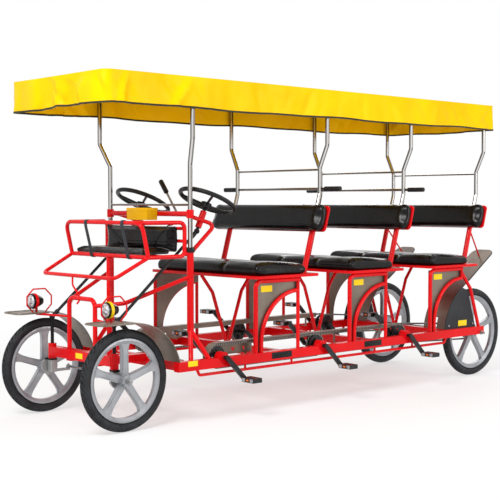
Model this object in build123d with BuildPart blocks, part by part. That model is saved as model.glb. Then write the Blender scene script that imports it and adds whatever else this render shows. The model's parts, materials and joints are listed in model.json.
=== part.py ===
import os
from math import asin, cos, degrees, radians, sin

from build123d import *

os.makedirs("parts", exist_ok=True)

# A three-bench pedal quadricycle with a canopy, a front child seat and two steering wheels.
# X points forward, Y to the left, Z up; the origin is on the ground under the middle of the vehicle.

# Wheels
front_tyre_diameter = 508
rear_tyre_diameter = 568
tyre_width = 50
tyre_height = 46
wheelbase = 2778
front_track = 736
rear_track = 760
rim_wall = 9
rim_depth = 24
spoke_count = 5
spoke_width = 28
spoke_depth = 20
hub_radius = 30
axle_diameter = 16
axle_nut_diameter = 26
axle_nut_length = 10
axle_end_length = 18
running_clearance = 0.05
touch_gap = 0.25
front_hub_length = 66
rear_hub_length = 64

# Side rails and cross members
rail_y = 440
rail_width = 40
rail_height = 50
rail_z = 300
rail_front_gap = 16
rail_tail = 34
under_rail_diameter = 16
under_rail_drop = 30
under_rail_front = 120
under_rail_rear = 360
under_rail_posts = 5
cross_member_width = 40
front_cross_gap = 66

# Front frame and steering
beam_size = 50
beam_z = 340
kingpin_y = 285
kingpin_diameter = 18
kingpin_housing_diameter = 44
kingpin_housing_height = 80
kingpin_top_z = 520
frame_arm_y = 130
frame_arm_size = 40
knuckle_size = 40
knuckle_below_axle = 28
brake_plate_diameter = 96
brake_plate_depth = 12
steering_arm_length = 100
steering_arm_width = 22
steering_arm_depth = 12
tie_rod_diameter = 14
tie_eye_diameter = 24
tie_pin_diameter = 10
joint_gap = 1

# Benches
bench_pitch = 735
bench_from_axle = 810
hoop_tube_diameter = 25
hoop_depth = 316
hoop_arc_inset = 40
hoop_arc_rise = 45
arc_tube_diameter = 23
bend_radius = 40
leg_tube_diameter = 20
seat_base_z = 720
seat_base_depth = 480
seat_base_width = 940
seat_base_front = 15
seat_base_thickness = 15
seat_base_corner = 30
cushion_thickness = 66
cushion_depth = 405
cushion_width = 916
cushion_round = 20
cushion_front = 6
centre_leg_from_bench = 180
centre_leg_spread = 190
centre_leg_knee = 110
centre_leg_knee_drop = 100
panel_thickness = 3
backrest_lean = 16
backrest_post_y = 355
backrest_post_diameter = 32
backrest_post_from_bench = 446
backrest_post_length = 390
backrest_width = 950
backrest_height = 150
backrest_bottom = 235
backrest_pad_thickness = 60
backrest_shell_thickness = 10
backrest_shell_sink = 4
backrest_round = 22

# Canopy and its posts
post_diameter = 25
post_splay = 58
post_knee = 75
post_bend_low_z = 1330
post_bend_high_z = 1456
post_bend_radius = 30
front_post_forward = 30
upright_back = 430
upright_diameter = 36
upright_top_z = 891
upright_fork_z = 470
fork_tube_diameter = 25
fork_spread = 58
fork_foot_inset = 10
crossbar_diameter = 12
crossbar_z = 1317
front_crossbar_z = 1117
hold_bar_z = 1208
hold_bar_diameter = 16
hold_bar_half_length = 493
grip_diameter = 27
grip_length = 118
grip_cap = 3
canopy_frame_tube = 20
canopy_frame_inset = 25
canopy_half_width = 492
canopy_front = 150
canopy_rear = 2935
canopy_top_z = 1768
canopy_skirt_z = 1602
canopy_sheet = 4
canopy_corner = 45
canopy_edge = 18

# Front child seat
basket_tube_diameter = 22
basket_half_width = 345
basket_low_z = 852
basket_top_z = 1026
basket_low_front = 168
basket_top_front = 128
nose_front = 27
nose_half_width = 329
nose_z = 754
basket_rear_gap = 0.5
basket_bar_diameter = 18
basket_bar_z = 995
basket_back_bar_z = 930
basket_middle = 90
basket_clamp_height = 30
basket_clamp_z = 866
basket_pad_thickness = 40
basket_pad_width = 620
basket_pad_back_gap = 26
basket_pad_round = 14
basket_back_height = 150
basket_back_thickness = 42

# Front hoop, struts and dash
hoop_front_y = 118
hoop_front_top_z = 635
strut_tube_diameter = 24
strut_root_z = 746
strut_bend_x = 100
strut_bend_y = 236
strut_bend_z = 620
strut_end_z = 604
dash_tube_diameter = 28
dash_z = 1070
dash_collar_diameter = 38
dash_collar_height = 44
dash_loop_diameter = 22
dash_loop_y = 300
dash_loop_back = 215
dash_loop_z = 1010
dash_loop_foot_z = 866
dash_box_width = 262
dash_box_height = 66
dash_box_depth = 76
dash_box_drop = 34
dash_box_round = 8
column_tilt = 25
column_back = 605
steering_wheel_z = 1138
steering_wheel_diameter = 326
steering_grip_diameter = 24
steering_hub_diameter = 58
steering_hub_depth = 44
steering_spoke_diameter = 14
steering_shaft_diameter = 18
sleeve_diameter = 34
sleeve_length = 92
sleeve_below_wheel = 62
column_length = 176
universal_joint_diameter = 30
link_shaft_diameter = 16
lever_diameter = 12
lever_grip_diameter = 26
lever_grip_length = 86
lever_foot_y = 232
lever_top_y = 62
lever_top_z = 1246
lever_lean = 34

# Front fenders and lamps
fender_gap = 33
fender_sheet = 3
fender_inner_y = 305
fender_outer_y = 460
fender_front = 165
fender_slot_length = 54
fender_slot_width = 22
fender_slot_pitch = 50
fender_stay_diameter = 12
fender_corner = 30
lamp_x = 60
lamp_y = 345
lamp_z = 604
lamp_diameter = 78
lamp_length = 66
lamp_neck_diameter = 40
lamp_stem_diameter = 14
lens_diameter = 68
lens_depth = 12
lens_seat = 6
guard_wire_diameter = 8
guard_length = 150
guard_top_z = 668
guard_corner = 38

# Cranks, chains and chain guards
crank_from_bench = 241
crank_stagger = 120
crank_z = 325
crank_length = 170
crank_arm_width = 26
crank_arm_thickness = 12
crank_outer_y = 492
crank_inner_y = 308
crank_axle_diameter = 18
crank_angle = 225
bearing_shell_diameter = 58
bearing_shell_length = 46
chainring_radius = 55
chainring_thickness = 4
chainring_window = 15
sprocket_radius = 45
chain_width = 8
chain_height = 10
chain_clearance = 0.4
front_chain_y = 402
middle_chain_y = 389
final_chain_y = 335.5
pedal_length = 90
pedal_width = 62
pedal_thickness = 24
pedal_window = 20
pedal_spindle_diameter = 14
pedal_offset = 6
guard_plate_y = 373
guard_sheet = 3
guard_flange_width = 42
guard_radius = 72
guard_axle_hole = 30
guard_front_length = 270
guard_strip_height = 27
guard_skirt = 22
guard_tail = 60
guard_bracket_width = 14
heart_size = 26

# Rear fenders, wheel covers and stays
rear_fender_gap = 36
rear_fender_sheet = 3
rear_fender_inner_y = 246
rear_fender_outer_y = 414
rear_fender_turn = 56
rear_fender_tail = 470
rear_fender_corner = 50
chain_notch_width = 28
chain_notch_height = 70
cover_thickness = 4
cover_y = 432
cover_gap = 61
cover_top_angle = 61
cover_rear_gap = 16
cover_corner = 20
stay_tube_diameter = 22
stay_knee_back = 94
stay_knee_z = 575

# Places worked out from the sizes above
front_radius = front_tyre_diameter / 2
rear_radius = rear_tyre_diameter / 2
front_axle_x = (wheelbase + rear_radius - front_radius) / 2
rear_axle_x = front_axle_x - wheelbase
front_wheel_y = front_track / 2
rear_wheel_y = rear_track / 2
rail_top = rail_z + rail_height / 2
rail_bottom = rail_z - rail_height / 2
rail_inner_y = rail_y - rail_width / 2
rail_outer_y = rail_y + rail_width / 2
rail_front_x = front_axle_x - front_radius - rail_front_gap
rail_rear_x = rear_axle_x - rail_tail
front_cross_x = front_axle_x - front_radius - front_cross_gap
upright_x = front_axle_x - upright_back
upright_y = backrest_post_y
bench_x = [front_axle_x - bench_from_axle - bench_pitch * number for number in range(3)]
hoop_top_z = seat_base_z - hoop_tube_diameter / 2
seat_base_top = seat_base_z + seat_base_thickness
rear_fender_radius = rear_radius + rear_fender_gap
rear_fender_foot_x = rear_axle_x + (rear_fender_radius**2 - (rail_top - rear_radius) ** 2) ** 0.5
cross_x = [bench_x[0] - centre_leg_from_bench, bench_x[1] - centre_leg_from_bench, rear_fender_foot_x]
lean = Vector(-sin(radians(backrest_lean)), 0, cos(radians(backrest_lean)))
lean_front = Vector(cos(radians(backrest_lean)), 0, sin(radians(backrest_lean)))
post_top_z = canopy_top_z - canopy_sheet - canopy_frame_tube
canopy_rail_y = backrest_post_y + post_splay
column_axis = Vector(-sin(radians(column_tilt)), 0, cos(radians(column_tilt)))
wheel_centre = Vector(front_axle_x - column_back, kingpin_y, steering_wheel_z)
column_foot = wheel_centre - column_axis * column_length
kingpin_head = Vector(front_axle_x, kingpin_y, kingpin_top_z)
fender_radius = front_radius + fender_gap
fender_top = front_radius + fender_radius + fender_sheet
basket_rear_x = upright_x + (upright_diameter + basket_tube_diameter) / 2 + basket_rear_gap
sides = (1, -1)


def side_name(side):
    return "left" if side > 0 else "right"


def on_side(point, side):
    return Vector(point.X, side * point.Y, point.Z)


def crank_x(number, side):
    return bench_x[number] + crank_from_bench - (crank_stagger if side < 0 else 0)


def save(part, name):
    part.label = name
    export_step(part, f"parts/{name}.step")


# A round bar along straight runs, with bends where a radius is given
def bar(points, diameter, bend=0.0):
    with BuildPart() as run:
        with BuildLine() as path:
            if bend:
                FilletPolyline(*points, radius=bend)
            else:
                Polyline(*points)
        with BuildSketch(Plane(path.line @ 0, z_dir=path.line % 0)):
            Circle(diameter / 2)
        sweep()
    return run.part


# A straight rod from point to point
def rod(start, end, diameter):
    start = Vector(*start)
    axis = Vector(*end) - start
    with BuildPart() as piece:
        with BuildSketch(Plane(start, z_dir=axis)):
            Circle(diameter / 2)
        extrude(amount=axis.length)
    return piece.part


def block(x_span, y_span, z_span, mode=Mode.ADD):
    spans = [sorted(span) for span in (x_span, y_span, z_span)]
    with Locations(tuple((low + high) / 2 for low, high in spans)):
        Box(*(high - low for low, high in spans), mode=mode)


# A cylinder along Y between two places
def drum(x, y_span, z, diameter, mode=Mode.ADD):
    low, high = sorted(y_span)
    with Locations((x, (low + high) / 2, z)):
        Cylinder(diameter / 2, high - low, rotation=(90, 0, 0), mode=mode)


# A cylinder along Z between two heights
def pillar(x, y, z_span, diameter, mode=Mode.ADD):
    low, high = sorted(z_span)
    with Locations((x, y, (low + high) / 2)):
        Cylinder(diameter / 2, high - low, mode=mode)


# Tyres and cast five-spoke wheels, turned about Y
def tyre_solid(radius):
    inner = radius - tyre_height
    half = tyre_width / 2
    with BuildPart() as tyre:
        with BuildSketch(Plane.XY):
            with BuildLine():
                Line((inner, -half * 0.6), (inner, half * 0.6))
                Spline((inner, half * 0.6), (radius - tyre_height * 0.55, half),
                       (radius - tyre_height * 0.14, half * 0.64), (radius, 0),
                       (radius - tyre_height * 0.14, -half * 0.64),
                       (radius - tyre_height * 0.55, -half), (inner, -half * 0.6))
            make_face()
        revolve(axis=Axis.Y)
    return tyre.part


def wheel_solid(radius, hub_span, sprocket_y=None):
    seat = radius - tyre_height - touch_gap
    half = tyre_width * 0.4
    inner = seat - rim_depth
    end = inner + rim_wall / 2
    with BuildPart() as wheel:
        with BuildSketch(Plane.XY):
            with BuildLine():
                Polyline((seat - rim_wall, -half), (seat, -half * 0.86), (seat, half * 0.86),
                         (seat - rim_wall, half), (inner, half * 0.5), (inner, -half * 0.5), close=True)
            make_face()
        revolve(axis=Axis.Y)
        with BuildSketch(Plane.XZ):
            with PolarLocations(0, spoke_count, start_angle=90):
                Polygon((0, -spoke_width * 0.6), (inner * 0.5, -spoke_width * 0.45),
                        (inner * 0.84, -spoke_width * 0.45), (end, -spoke_width * 0.85),
                        (end, spoke_width * 0.85), (inner * 0.84, spoke_width * 0.45),
                        (inner * 0.5, spoke_width * 0.45), (0, spoke_width * 0.6), align=None)
        extrude(amount=spoke_depth / 2, both=True)
        drum(0, hub_span, 0, 2 * hub_radius)
        if sprocket_y is not None:
            half_sprocket = chainring_thickness / 2
            drum(0, (sprocket_y - half_sprocket, sprocket_y + half_sprocket), 0, 2 * sprocket_radius)
        drum(0, (min(hub_span) - joint_gap, max(hub_span) + joint_gap), 0,
             axle_diameter + 2 * running_clearance, mode=Mode.SUBTRACT)
    return wheel.part


for side in sides:
    hub_half = front_hub_length / 2
    with BuildPart() as front_tyre:
        with Locations((front_axle_x, side * front_wheel_y, front_radius)):
            add(tyre_solid(front_radius))
    save(front_tyre.part, f"front_tyre_{side_name(side)}")
    with BuildPart() as front_wheel:
        with Locations((front_axle_x, side * front_wheel_y, front_radius)):
            add(wheel_solid(front_radius, (-hub_half, hub_half)))
    save(front_wheel.part, f"front_wheel_{side_name(side)}")

    sprocket_y = side * (final_chain_y - rear_wheel_y)
    hub_inner = sprocket_y - side * chainring_thickness
    with BuildPart() as rear_tyre:
        with Locations((rear_axle_x, side * rear_wheel_y, rear_radius)):
            add(tyre_solid(rear_radius))
    save(rear_tyre.part, f"rear_tyre_{side_name(side)}")
    with BuildPart() as rear_wheel:
        with Locations((rear_axle_x, side * rear_wheel_y, rear_radius)):
            add(wheel_solid(rear_radius, (hub_inner, side * rear_hub_length / 2), sprocket_y))
    save(rear_wheel.part, f"rear_wheel_{side_name(side)}")

# Rear axle through both wheels and rails, with nuts outside
axle_nut_y = rail_outer_y
axle_end_y = axle_nut_y + axle_nut_length + axle_end_length
with BuildPart() as rear_axle:
    drum(rear_axle_x, (-axle_end_y, axle_end_y), rear_radius, axle_diameter)
    for side in sides:
        drum(rear_axle_x, (side * axle_nut_y, side * (axle_nut_y + axle_nut_length)), rear_radius, axle_nut_diameter)
save(rear_axle.part, "rear_axle")

# Side rails with crank bearing shells, and the guard tube slung below each
under_rail_z = rail_bottom - under_rail_drop
with BuildPart() as side_rails:
    for side in sides:
        block((rail_front_x, rail_rear_x), (side * rail_inner_y, side * rail_outer_y), (rail_bottom, rail_top))
        first_x = rail_front_x - under_rail_front
        last_x = rail_rear_x + under_rail_rear
        add(bar([(first_x, side * rail_y, rail_z), (first_x - under_rail_drop, side * rail_y, under_rail_z),
                 (last_x + under_rail_drop, side * rail_y, under_rail_z), (last_x, side * rail_y, rail_z)],
                under_rail_diameter, under_rail_diameter))
        span = (first_x - last_x) / (under_rail_posts + 1)
        for number in range(1, under_rail_posts + 1):
            pillar(first_x - span * number, side * rail_y, (under_rail_z, rail_z), under_rail_diameter * 0.8)
        for number in range(3):
            shell_half = bearing_shell_length / 2
            drum(crank_x(number, side), (side * rail_y - shell_half, side * rail_y + shell_half), crank_z,
                 bearing_shell_diameter)
            drum(crank_x(number, side), (side * rail_y - shell_half, side * rail_y + shell_half), crank_z,
                 crank_axle_diameter + 2 * running_clearance, mode=Mode.SUBTRACT)
        drum(rear_axle_x, (side * rail_inner_y, side * rail_outer_y), rear_radius, axle_diameter,
             mode=Mode.SUBTRACT)
save(side_rails.part, "side_rails")

# Cross members between the rails
with BuildPart() as cross_members:
    for member_x in (front_cross_x, *cross_x):
        block((member_x - cross_member_width / 2, member_x + cross_member_width / 2),
              (-rail_inner_y, rail_inner_y), (rail_bottom, rail_top))
save(cross_members.part, "cross_members")

# Front frame: the axle beam with its kingpin housings and two arms back to the first cross member
housing_low = beam_z - kingpin_housing_height / 2
housing_high = beam_z + kingpin_housing_height / 2
beam_top = beam_z + beam_size / 2
arm_z = (beam_z - beam_size / 2 + rail_top) / 2
arm_span = (arm_z - frame_arm_size / 2, arm_z + frame_arm_size / 2)
column_x = front_axle_x - basket_low_front
with BuildPart() as front_frame:
    block((front_axle_x - beam_size / 2, front_axle_x + beam_size / 2), (-kingpin_y, kingpin_y),
          (beam_z - beam_size / 2, beam_top))
    for side in sides:
        block((front_cross_x + cross_member_width / 2, front_axle_x),
              (side * (frame_arm_y - frame_arm_size / 2), side * (frame_arm_y + frame_arm_size / 2)), arm_span)
        pillar(front_axle_x, side * kingpin_y, (housing_low, housing_high), kingpin_housing_diameter)
        pillar(front_axle_x, side * kingpin_y, (housing_low, housing_high),
               kingpin_diameter + 2 * running_clearance, mode=Mode.SUBTRACT)
    block((column_x - frame_arm_size / 2, column_x + frame_arm_size / 2), (-frame_arm_y, frame_arm_y), arm_span)
save(front_frame.part, "front_frame")

# Steering knuckles: kingpin, stub axle, brake plate and steering arm
knuckle_top = housing_low - joint_gap
knuckle_bottom = front_radius - knuckle_below_axle
stub_end_y = front_wheel_y + front_hub_length / 2 + joint_gap
plate_y = front_wheel_y - front_hub_length / 2 - brake_plate_depth
arm_top = knuckle_bottom + steering_arm_depth
tie_z = arm_top + joint_gap + tie_rod_diameter / 2
tie_x = front_axle_x - steering_arm_length
for side in sides:
    with BuildPart() as knuckle:
        block((front_axle_x - knuckle_size / 2, front_axle_x + knuckle_size / 2),
              (side * kingpin_y - knuckle_size / 2, side * kingpin_y + knuckle_size / 2),
              (knuckle_bottom, knuckle_top))
        fillet(knuckle.edges().filter_by(Axis.Z), knuckle_size / 6)
        pillar(front_axle_x, side * kingpin_y, (knuckle_bottom, kingpin_top_z), kingpin_diameter)
        with Locations(on_side(kingpin_head, side)):
            Sphere(universal_joint_diameter / 2)
        drum(front_axle_x, (side * kingpin_y, side * (stub_end_y + axle_nut_length)), front_radius, axle_diameter)
        drum(front_axle_x, (side * stub_end_y, side * (stub_end_y + axle_nut_length)), front_radius,
             axle_nut_diameter)
        drum(front_axle_x, (side * (plate_y - brake_plate_depth), side * plate_y), front_radius,
             brake_plate_diameter)
        block((front_axle_x, tie_x), (side * kingpin_y - steering_arm_width / 2,
                                      side * kingpin_y + steering_arm_width / 2), (knuckle_bottom, arm_top))
        pillar(tie_x, side * kingpin_y, (knuckle_bottom, arm_top), steering_arm_width)
        pillar(tie_x, side * kingpin_y, (knuckle_bottom, tie_z + tie_rod_diameter), tie_pin_diameter)
    save(knuckle.part, f"steering_knuckle_{side_name(side)}")

with BuildPart() as tie_rod:
    drum(tie_x, (-kingpin_y, kingpin_y), tie_z, tie_rod_diameter)
    for side in sides:
        eye_span = (tie_z - tie_rod_diameter / 2, tie_z + tie_rod_diameter / 2)
        pillar(tie_x, side * kingpin_y, eye_span, tie_eye_diameter)
        pillar(tie_x, side * kingpin_y, eye_span, tie_pin_diameter + 2 * running_clearance, mode=Mode.SUBTRACT)
save(tie_rod.part, "tie_rod")

# Uprights on forked feet, which carry the front canopy posts
with BuildPart() as uprights:
    pillar(upright_x, upright_y, (upright_fork_z - fork_tube_diameter / 2, upright_top_z), upright_diameter)
    for spread in (fork_spread, -fork_spread):
        foot = Vector(upright_x + spread, rail_y - fork_foot_inset, rail_top)
        knee = Vector(upright_x, upright_y, upright_fork_z)
        add(rod(knee, foot + (foot - knee) * 0.2, fork_tube_diameter))
    split(bisect_by=Plane.XY.offset(rail_top), keep=Keep.TOP)
    mirror(about=Plane.XZ)
save(uprights.part, "uprights")

# Front hoop on the beam, struts from the uprights and the centre column under the child seat
with BuildPart() as front_struts:
    add(bar([(front_axle_x, hoop_front_y, beam_top), (front_axle_x, hoop_front_y, hoop_front_top_z),
             (front_axle_x, -hoop_front_y, hoop_front_top_z), (front_axle_x, -hoop_front_y, beam_top)],
            strut_tube_diameter, bend_radius))
    for side in sides:
        add(bar([(upright_x, side * upright_y, strut_root_z),
                 (front_axle_x - strut_bend_x, side * strut_bend_y, strut_bend_z),
                 (front_axle_x, side * hoop_front_y, strut_end_z)], strut_tube_diameter - 2, bend_radius))
        pillar(upright_x, side * upright_y, (upright_fork_z, upright_top_z), upright_diameter, mode=Mode.SUBTRACT)
        stay_z = fender_top - fender_sheet - fender_stay_diameter / 2
        add(rod((front_axle_x, side * hoop_front_y, stay_z), (front_axle_x + lamp_x, side * lamp_y, stay_z),
                fender_stay_diameter))
save(front_struts.part, "front_struts")

with BuildPart() as centre_column:
    pillar(column_x, 0, (arm_span[1], basket_low_z - basket_tube_diameter / 2), strut_tube_diameter)
save(centre_column.part, "centre_column")

# Child seat frame: two closed side loops, bars between them and the nose bar
low_front_x = front_axle_x - basket_low_front
top_front_x = front_axle_x - basket_top_front
nose_x = front_axle_x + nose_front
basket_middle_x = low_front_x - basket_middle
with BuildPart() as child_seat_frame:
    for side in sides:
        y = side * basket_half_width
        add(bar([(top_front_x, 0, basket_top_z), (top_front_x, y, basket_top_z),
                 (basket_rear_x, y, basket_top_z)], basket_tube_diameter, bend_radius))
        add(bar([(basket_rear_x, y, basket_top_z), (basket_rear_x, y, basket_low_z),
                 (low_front_x, y, basket_low_z)], basket_tube_diameter, bend_radius / 2))
        add(rod((low_front_x, y, basket_low_z), (top_front_x - basket_tube_diameter / 2, y, basket_top_z),
                basket_tube_diameter - 1))
        add(bar([(low_front_x, y, basket_low_z), (nose_x, side * nose_half_width, nose_z), (nose_x, 0, nose_z)],
                basket_tube_diameter - 2, bend_radius / 2))
        block((upright_x, basket_rear_x), (side * upright_y - basket_tube_diameter / 2, y + basket_tube_diameter / 2),
              (basket_clamp_z - basket_clamp_height / 2, basket_clamp_z + basket_clamp_height / 2))
        pillar(upright_x, side * upright_y, (upright_fork_z, upright_top_z), upright_diameter, mode=Mode.SUBTRACT)
    drum(low_front_x, (-basket_half_width, basket_half_width), basket_low_z, basket_tube_diameter - 1)
    drum(basket_middle_x, (-basket_half_width, basket_half_width), basket_low_z + 2, basket_bar_diameter)
    drum(basket_rear_x, (-basket_half_width, basket_half_width), basket_back_bar_z, basket_bar_diameter)
    drum(basket_rear_x, (-basket_half_width, basket_half_width), basket_bar_z, basket_bar_diameter)
save(child_seat_frame.part, "child_seat_frame")

# Child seat pads
pad_low = basket_low_z + basket_tube_diameter / 2
back_x = basket_rear_x + basket_tube_diameter / 2
with BuildPart() as child_seat_cushion:
    block((back_x + basket_pad_back_gap, low_front_x + basket_tube_diameter / 2), (-basket_pad_width / 2, basket_pad_width / 2),
          (pad_low, pad_low + basket_pad_thickness))
    fillet(child_seat_cushion.edges().group_by(Axis.Z)[-1], basket_pad_round)
save(child_seat_cushion.part, "child_seat_cushion")

back_low = pad_low + basket_pad_thickness
with BuildPart() as child_seat_back:
    block((back_x, back_x + basket_back_thickness), (-basket_pad_width / 2, basket_pad_width / 2),
          (back_low, back_low + basket_back_height - basket_pad_thickness))
    fillet(child_seat_back.edges().group_by(Axis.X)[-1], basket_pad_round)
save(child_seat_back.part, "child_seat_back")

# Dash: a tube clamped to the front posts, loops that hold the steering sleeves, and the tool box
with BuildPart() as dash_frame:
    drum(upright_x, (-upright_y, upright_y), dash_z, dash_tube_diameter)
    for side in sides:
        pillar(upright_x, side * upright_y, (dash_z - dash_collar_height / 2, dash_z + dash_collar_height / 2),
               dash_collar_diameter)
        add(bar([(upright_x, side * dash_loop_y, dash_z), (upright_x - dash_loop_back, side * dash_loop_y, dash_loop_z),
                 (upright_x, side * upright_y, dash_loop_foot_z)], dash_loop_diameter, bend_radius / 2))
        sleeve_head = on_side(wheel_centre - column_axis * sleeve_below_wheel, side)
        sleeve_foot = sleeve_head - column_axis * sleeve_length
        add(rod(sleeve_head, sleeve_foot, sleeve_diameter))
        add(rod(sleeve_head + column_axis, sleeve_foot - column_axis,
                steering_shaft_diameter + 2 * running_clearance), mode=Mode.SUBTRACT)
        pillar(upright_x, side * upright_y, (upright_fork_z, upright_top_z), upright_diameter, mode=Mode.SUBTRACT)
        pillar(upright_x, side * upright_y, (upright_top_z, post_bend_low_z), post_diameter, mode=Mode.SUBTRACT)
save(dash_frame.part, "dash_frame")

box_back = upright_x + dash_tube_diameter / 2
with BuildPart() as dash_box:
    block((box_back, box_back + dash_box_depth), (-dash_box_width / 2, dash_box_width / 2),
          (dash_z - dash_box_drop, dash_z - dash_box_drop + dash_box_height))
    fillet(dash_box.edges(), dash_box_round)
save(dash_box.part, "dash_box")

# Steering wheels with their shafts, and the link shafts down to the kingpins
for side in sides:
    centre = on_side(wheel_centre, side)
    foot = on_side(column_foot, side)
    head = on_side(kingpin_head, side)
    ring_radius = (steering_wheel_diameter - steering_grip_diameter) / 2
    hub_low = centre - column_axis * steering_hub_depth
    with BuildPart() as steering_wheel:
        with Locations(Plane(centre, x_dir=(0, 1, 0), z_dir=column_axis)):
            Torus(ring_radius, steering_grip_diameter / 2)
        add(rod(hub_low, centre - column_axis * steering_spoke_diameter, steering_hub_diameter))
        for turn in (90, 210, 330):
            spoke = Plane(centre, x_dir=(0, 1, 0), z_dir=column_axis).from_local_coords(
                Vector(ring_radius * cos(radians(turn)), ring_radius * sin(radians(turn)), 0))
            add(rod(centre - column_axis * (steering_hub_depth * 0.6), spoke, steering_spoke_diameter))
        add(rod(hub_low, foot, steering_shaft_diameter))
        with Locations(foot):
            Sphere(universal_joint_diameter / 2)
    save(steering_wheel.part, f"steering_wheel_{side_name(side)}")

    run = (head - foot).normalized()
    reach = universal_joint_diameter / 2 + 2 * joint_gap
    with BuildPart() as link_shaft:
        add(rod(foot + run * reach, head - run * reach, link_shaft_diameter))
        add(rod(foot + run * reach, foot + run * (reach + universal_joint_diameter), universal_joint_diameter * 0.8))
        add(rod(head - run * (reach + universal_joint_diameter), head - run * reach, universal_joint_diameter * 0.8))
    save(link_shaft.part, f"link_shaft_{side_name(side)}")

# Parking brake lever
with BuildPart() as brake_lever:
    lever_foot = Vector(upright_x - dash_tube_diameter / 2, lever_foot_y, dash_z)
    lever_top = Vector(upright_x - lever_lean, lever_top_y, lever_top_z)
    lever_run = (lever_top - lever_foot).normalized()
    add(rod(lever_foot, lever_top, lever_diameter))
    add(rod(lever_top - lever_run * lever_grip_length, lever_top, lever_grip_diameter))
    fillet(brake_lever.edges().filter_by(GeomType.CIRCLE).group_by(Axis.Z)[-1], lever_grip_diameter / 4)
    drum(upright_x, (-upright_y, upright_y), dash_z, dash_tube_diameter, mode=Mode.SUBTRACT)
save(brake_lever.part, "brake_lever")

# Front fenders: a flat slotted top, then an arc down behind the wheel to the rail
fender_mid = fender_radius + fender_sheet / 2
with BuildPart() as front_fenders:
    fender_y = (fender_inner_y + fender_outer_y) / 2
    with BuildLine() as fender_path:
        Line((front_axle_x + fender_front, fender_y, front_radius + fender_mid),
             (front_axle_x, fender_y, front_radius + fender_mid))
        ThreePointArc((front_axle_x, fender_y, front_radius + fender_mid),
                      (front_axle_x - fender_mid * sin(radians(45)), fender_y,
                       front_radius + fender_mid * cos(radians(45))),
                      (front_axle_x - fender_mid, fender_y, front_radius))
    with BuildSketch(Plane(fender_path.line @ 0, x_dir=(0, 1, 0), z_dir=fender_path.line % 0)):
        Rectangle(fender_outer_y - fender_inner_y, fender_sheet)
    sweep()
    split(bisect_by=Plane.XY.offset(rail_top), keep=Keep.TOP)
    with BuildSketch(Plane.XY.offset(fender_top)):
        for step in range(3):
            slot_x = front_axle_x + fender_front - fender_slot_pitch * (step + 0.7)
            with Locations((slot_x, fender_outer_y - fender_slot_length * 0.75)):
                SlotOverall(fender_slot_length, fender_slot_width, rotation=90)
    extrude(amount=-2 * fender_sheet, mode=Mode.SUBTRACT)
    fillet(front_fenders.edges().filter_by(Axis.Z).sort_by(Axis.X)[-2:], fender_corner)
    mirror(about=Plane.XZ)
save(front_fenders.part, "front_fenders")

# Headlamps on the fenders, each under a bent wire guard
lamp_front_x = front_axle_x + lamp_x + lamp_length / 2
lamp_back_x = lamp_front_x - lamp_length
guard_rear_x = lamp_back_x - guard_length * 0.4
guard_front_x = guard_rear_x + guard_length
with BuildPart() as headlamps:
    with BuildSketch(Plane.XZ.offset(-lamp_y)):
        with BuildLine():
            Polyline((lamp_front_x, lamp_z), (lamp_front_x, lamp_z + lamp_diameter / 2),
                     (lamp_front_x - lamp_length * 0.3, lamp_z + lamp_diameter / 2))
            Spline((lamp_front_x - lamp_length * 0.3, lamp_z + lamp_diameter / 2),
                   (lamp_front_x - lamp_length * 0.7, lamp_z + lamp_diameter * 0.38),
                   (lamp_back_x, lamp_z + lamp_neck_diameter / 2))
            Polyline((lamp_back_x, lamp_z + lamp_neck_diameter / 2), (lamp_back_x, lamp_z), (lamp_front_x, lamp_z))
        make_face()
    revolve(axis=Axis((lamp_front_x, lamp_y, lamp_z), (1, 0, 0)))
    add(rod((lamp_front_x, lamp_y, lamp_z), (lamp_front_x - lens_seat, lamp_y, lamp_z), lens_diameter),
        mode=Mode.SUBTRACT)
    pillar(front_axle_x + lamp_x, lamp_y, (fender_top, lamp_z - lamp_diameter * 0.3), lamp_stem_diameter)
    add(bar([(guard_front_x - guard_corner, lamp_y, fender_top), (guard_front_x, lamp_y, fender_top + guard_corner),
             (guard_front_x, lamp_y, guard_top_z - guard_corner), (guard_front_x - guard_corner, lamp_y, guard_top_z),
             (guard_rear_x + guard_corner, lamp_y, guard_top_z), (guard_rear_x, lamp_y, guard_top_z - guard_corner),
             (guard_rear_x, lamp_y, fender_top + guard_corner), (guard_rear_x + guard_corner, lamp_y, fender_top)],
            guard_wire_diameter, guard_wire_diameter))
    split(bisect_by=Plane.XY.offset(fender_top), keep=Keep.TOP)
    mirror(about=Plane.XZ)
save(headlamps.part, "headlamps")

lens_radius = lens_diameter / 2 - touch_gap
dome_radius = (lens_radius**2 + lens_depth**2) / (2 * lens_depth)
with BuildPart() as headlamp_lenses:
    add(rod((lamp_front_x - lens_seat, lamp_y, lamp_z), (lamp_front_x, lamp_y, lamp_z), 2 * lens_radius))
    with Locations((lamp_front_x + lens_depth - dome_radius, lamp_y, lamp_z)):
        Sphere(dome_radius, arc_size1=degrees(asin(1 - lens_depth / dome_radius)), rotation=(0, 90, 0), align=None)
    mirror(about=Plane.XZ)
save(headlamp_lenses.part, "headlamp_lenses")

# Bench frames: a bent hoop on each rail and a forked centre leg; the last bench has stays to the axle
arc_low_z = rail_top + hoop_arc_rise


def arc_tube(foot_x, top_x):
    radius = foot_x - top_x
    middle = Vector(top_x + radius * cos(radians(45)), rail_y, arc_low_z + radius * sin(radians(45)))
    with BuildPart() as tube:
        with BuildLine():
            Line((foot_x, rail_y, rail_top), (foot_x, rail_y, arc_low_z))
            ThreePointArc((foot_x, rail_y, arc_low_z), middle, (top_x, rail_y, arc_low_z + radius))
        with BuildSketch(Plane((foot_x, rail_y, rail_top))):
            Circle(arc_tube_diameter / 2)
        sweep()
    return tube.part


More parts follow.
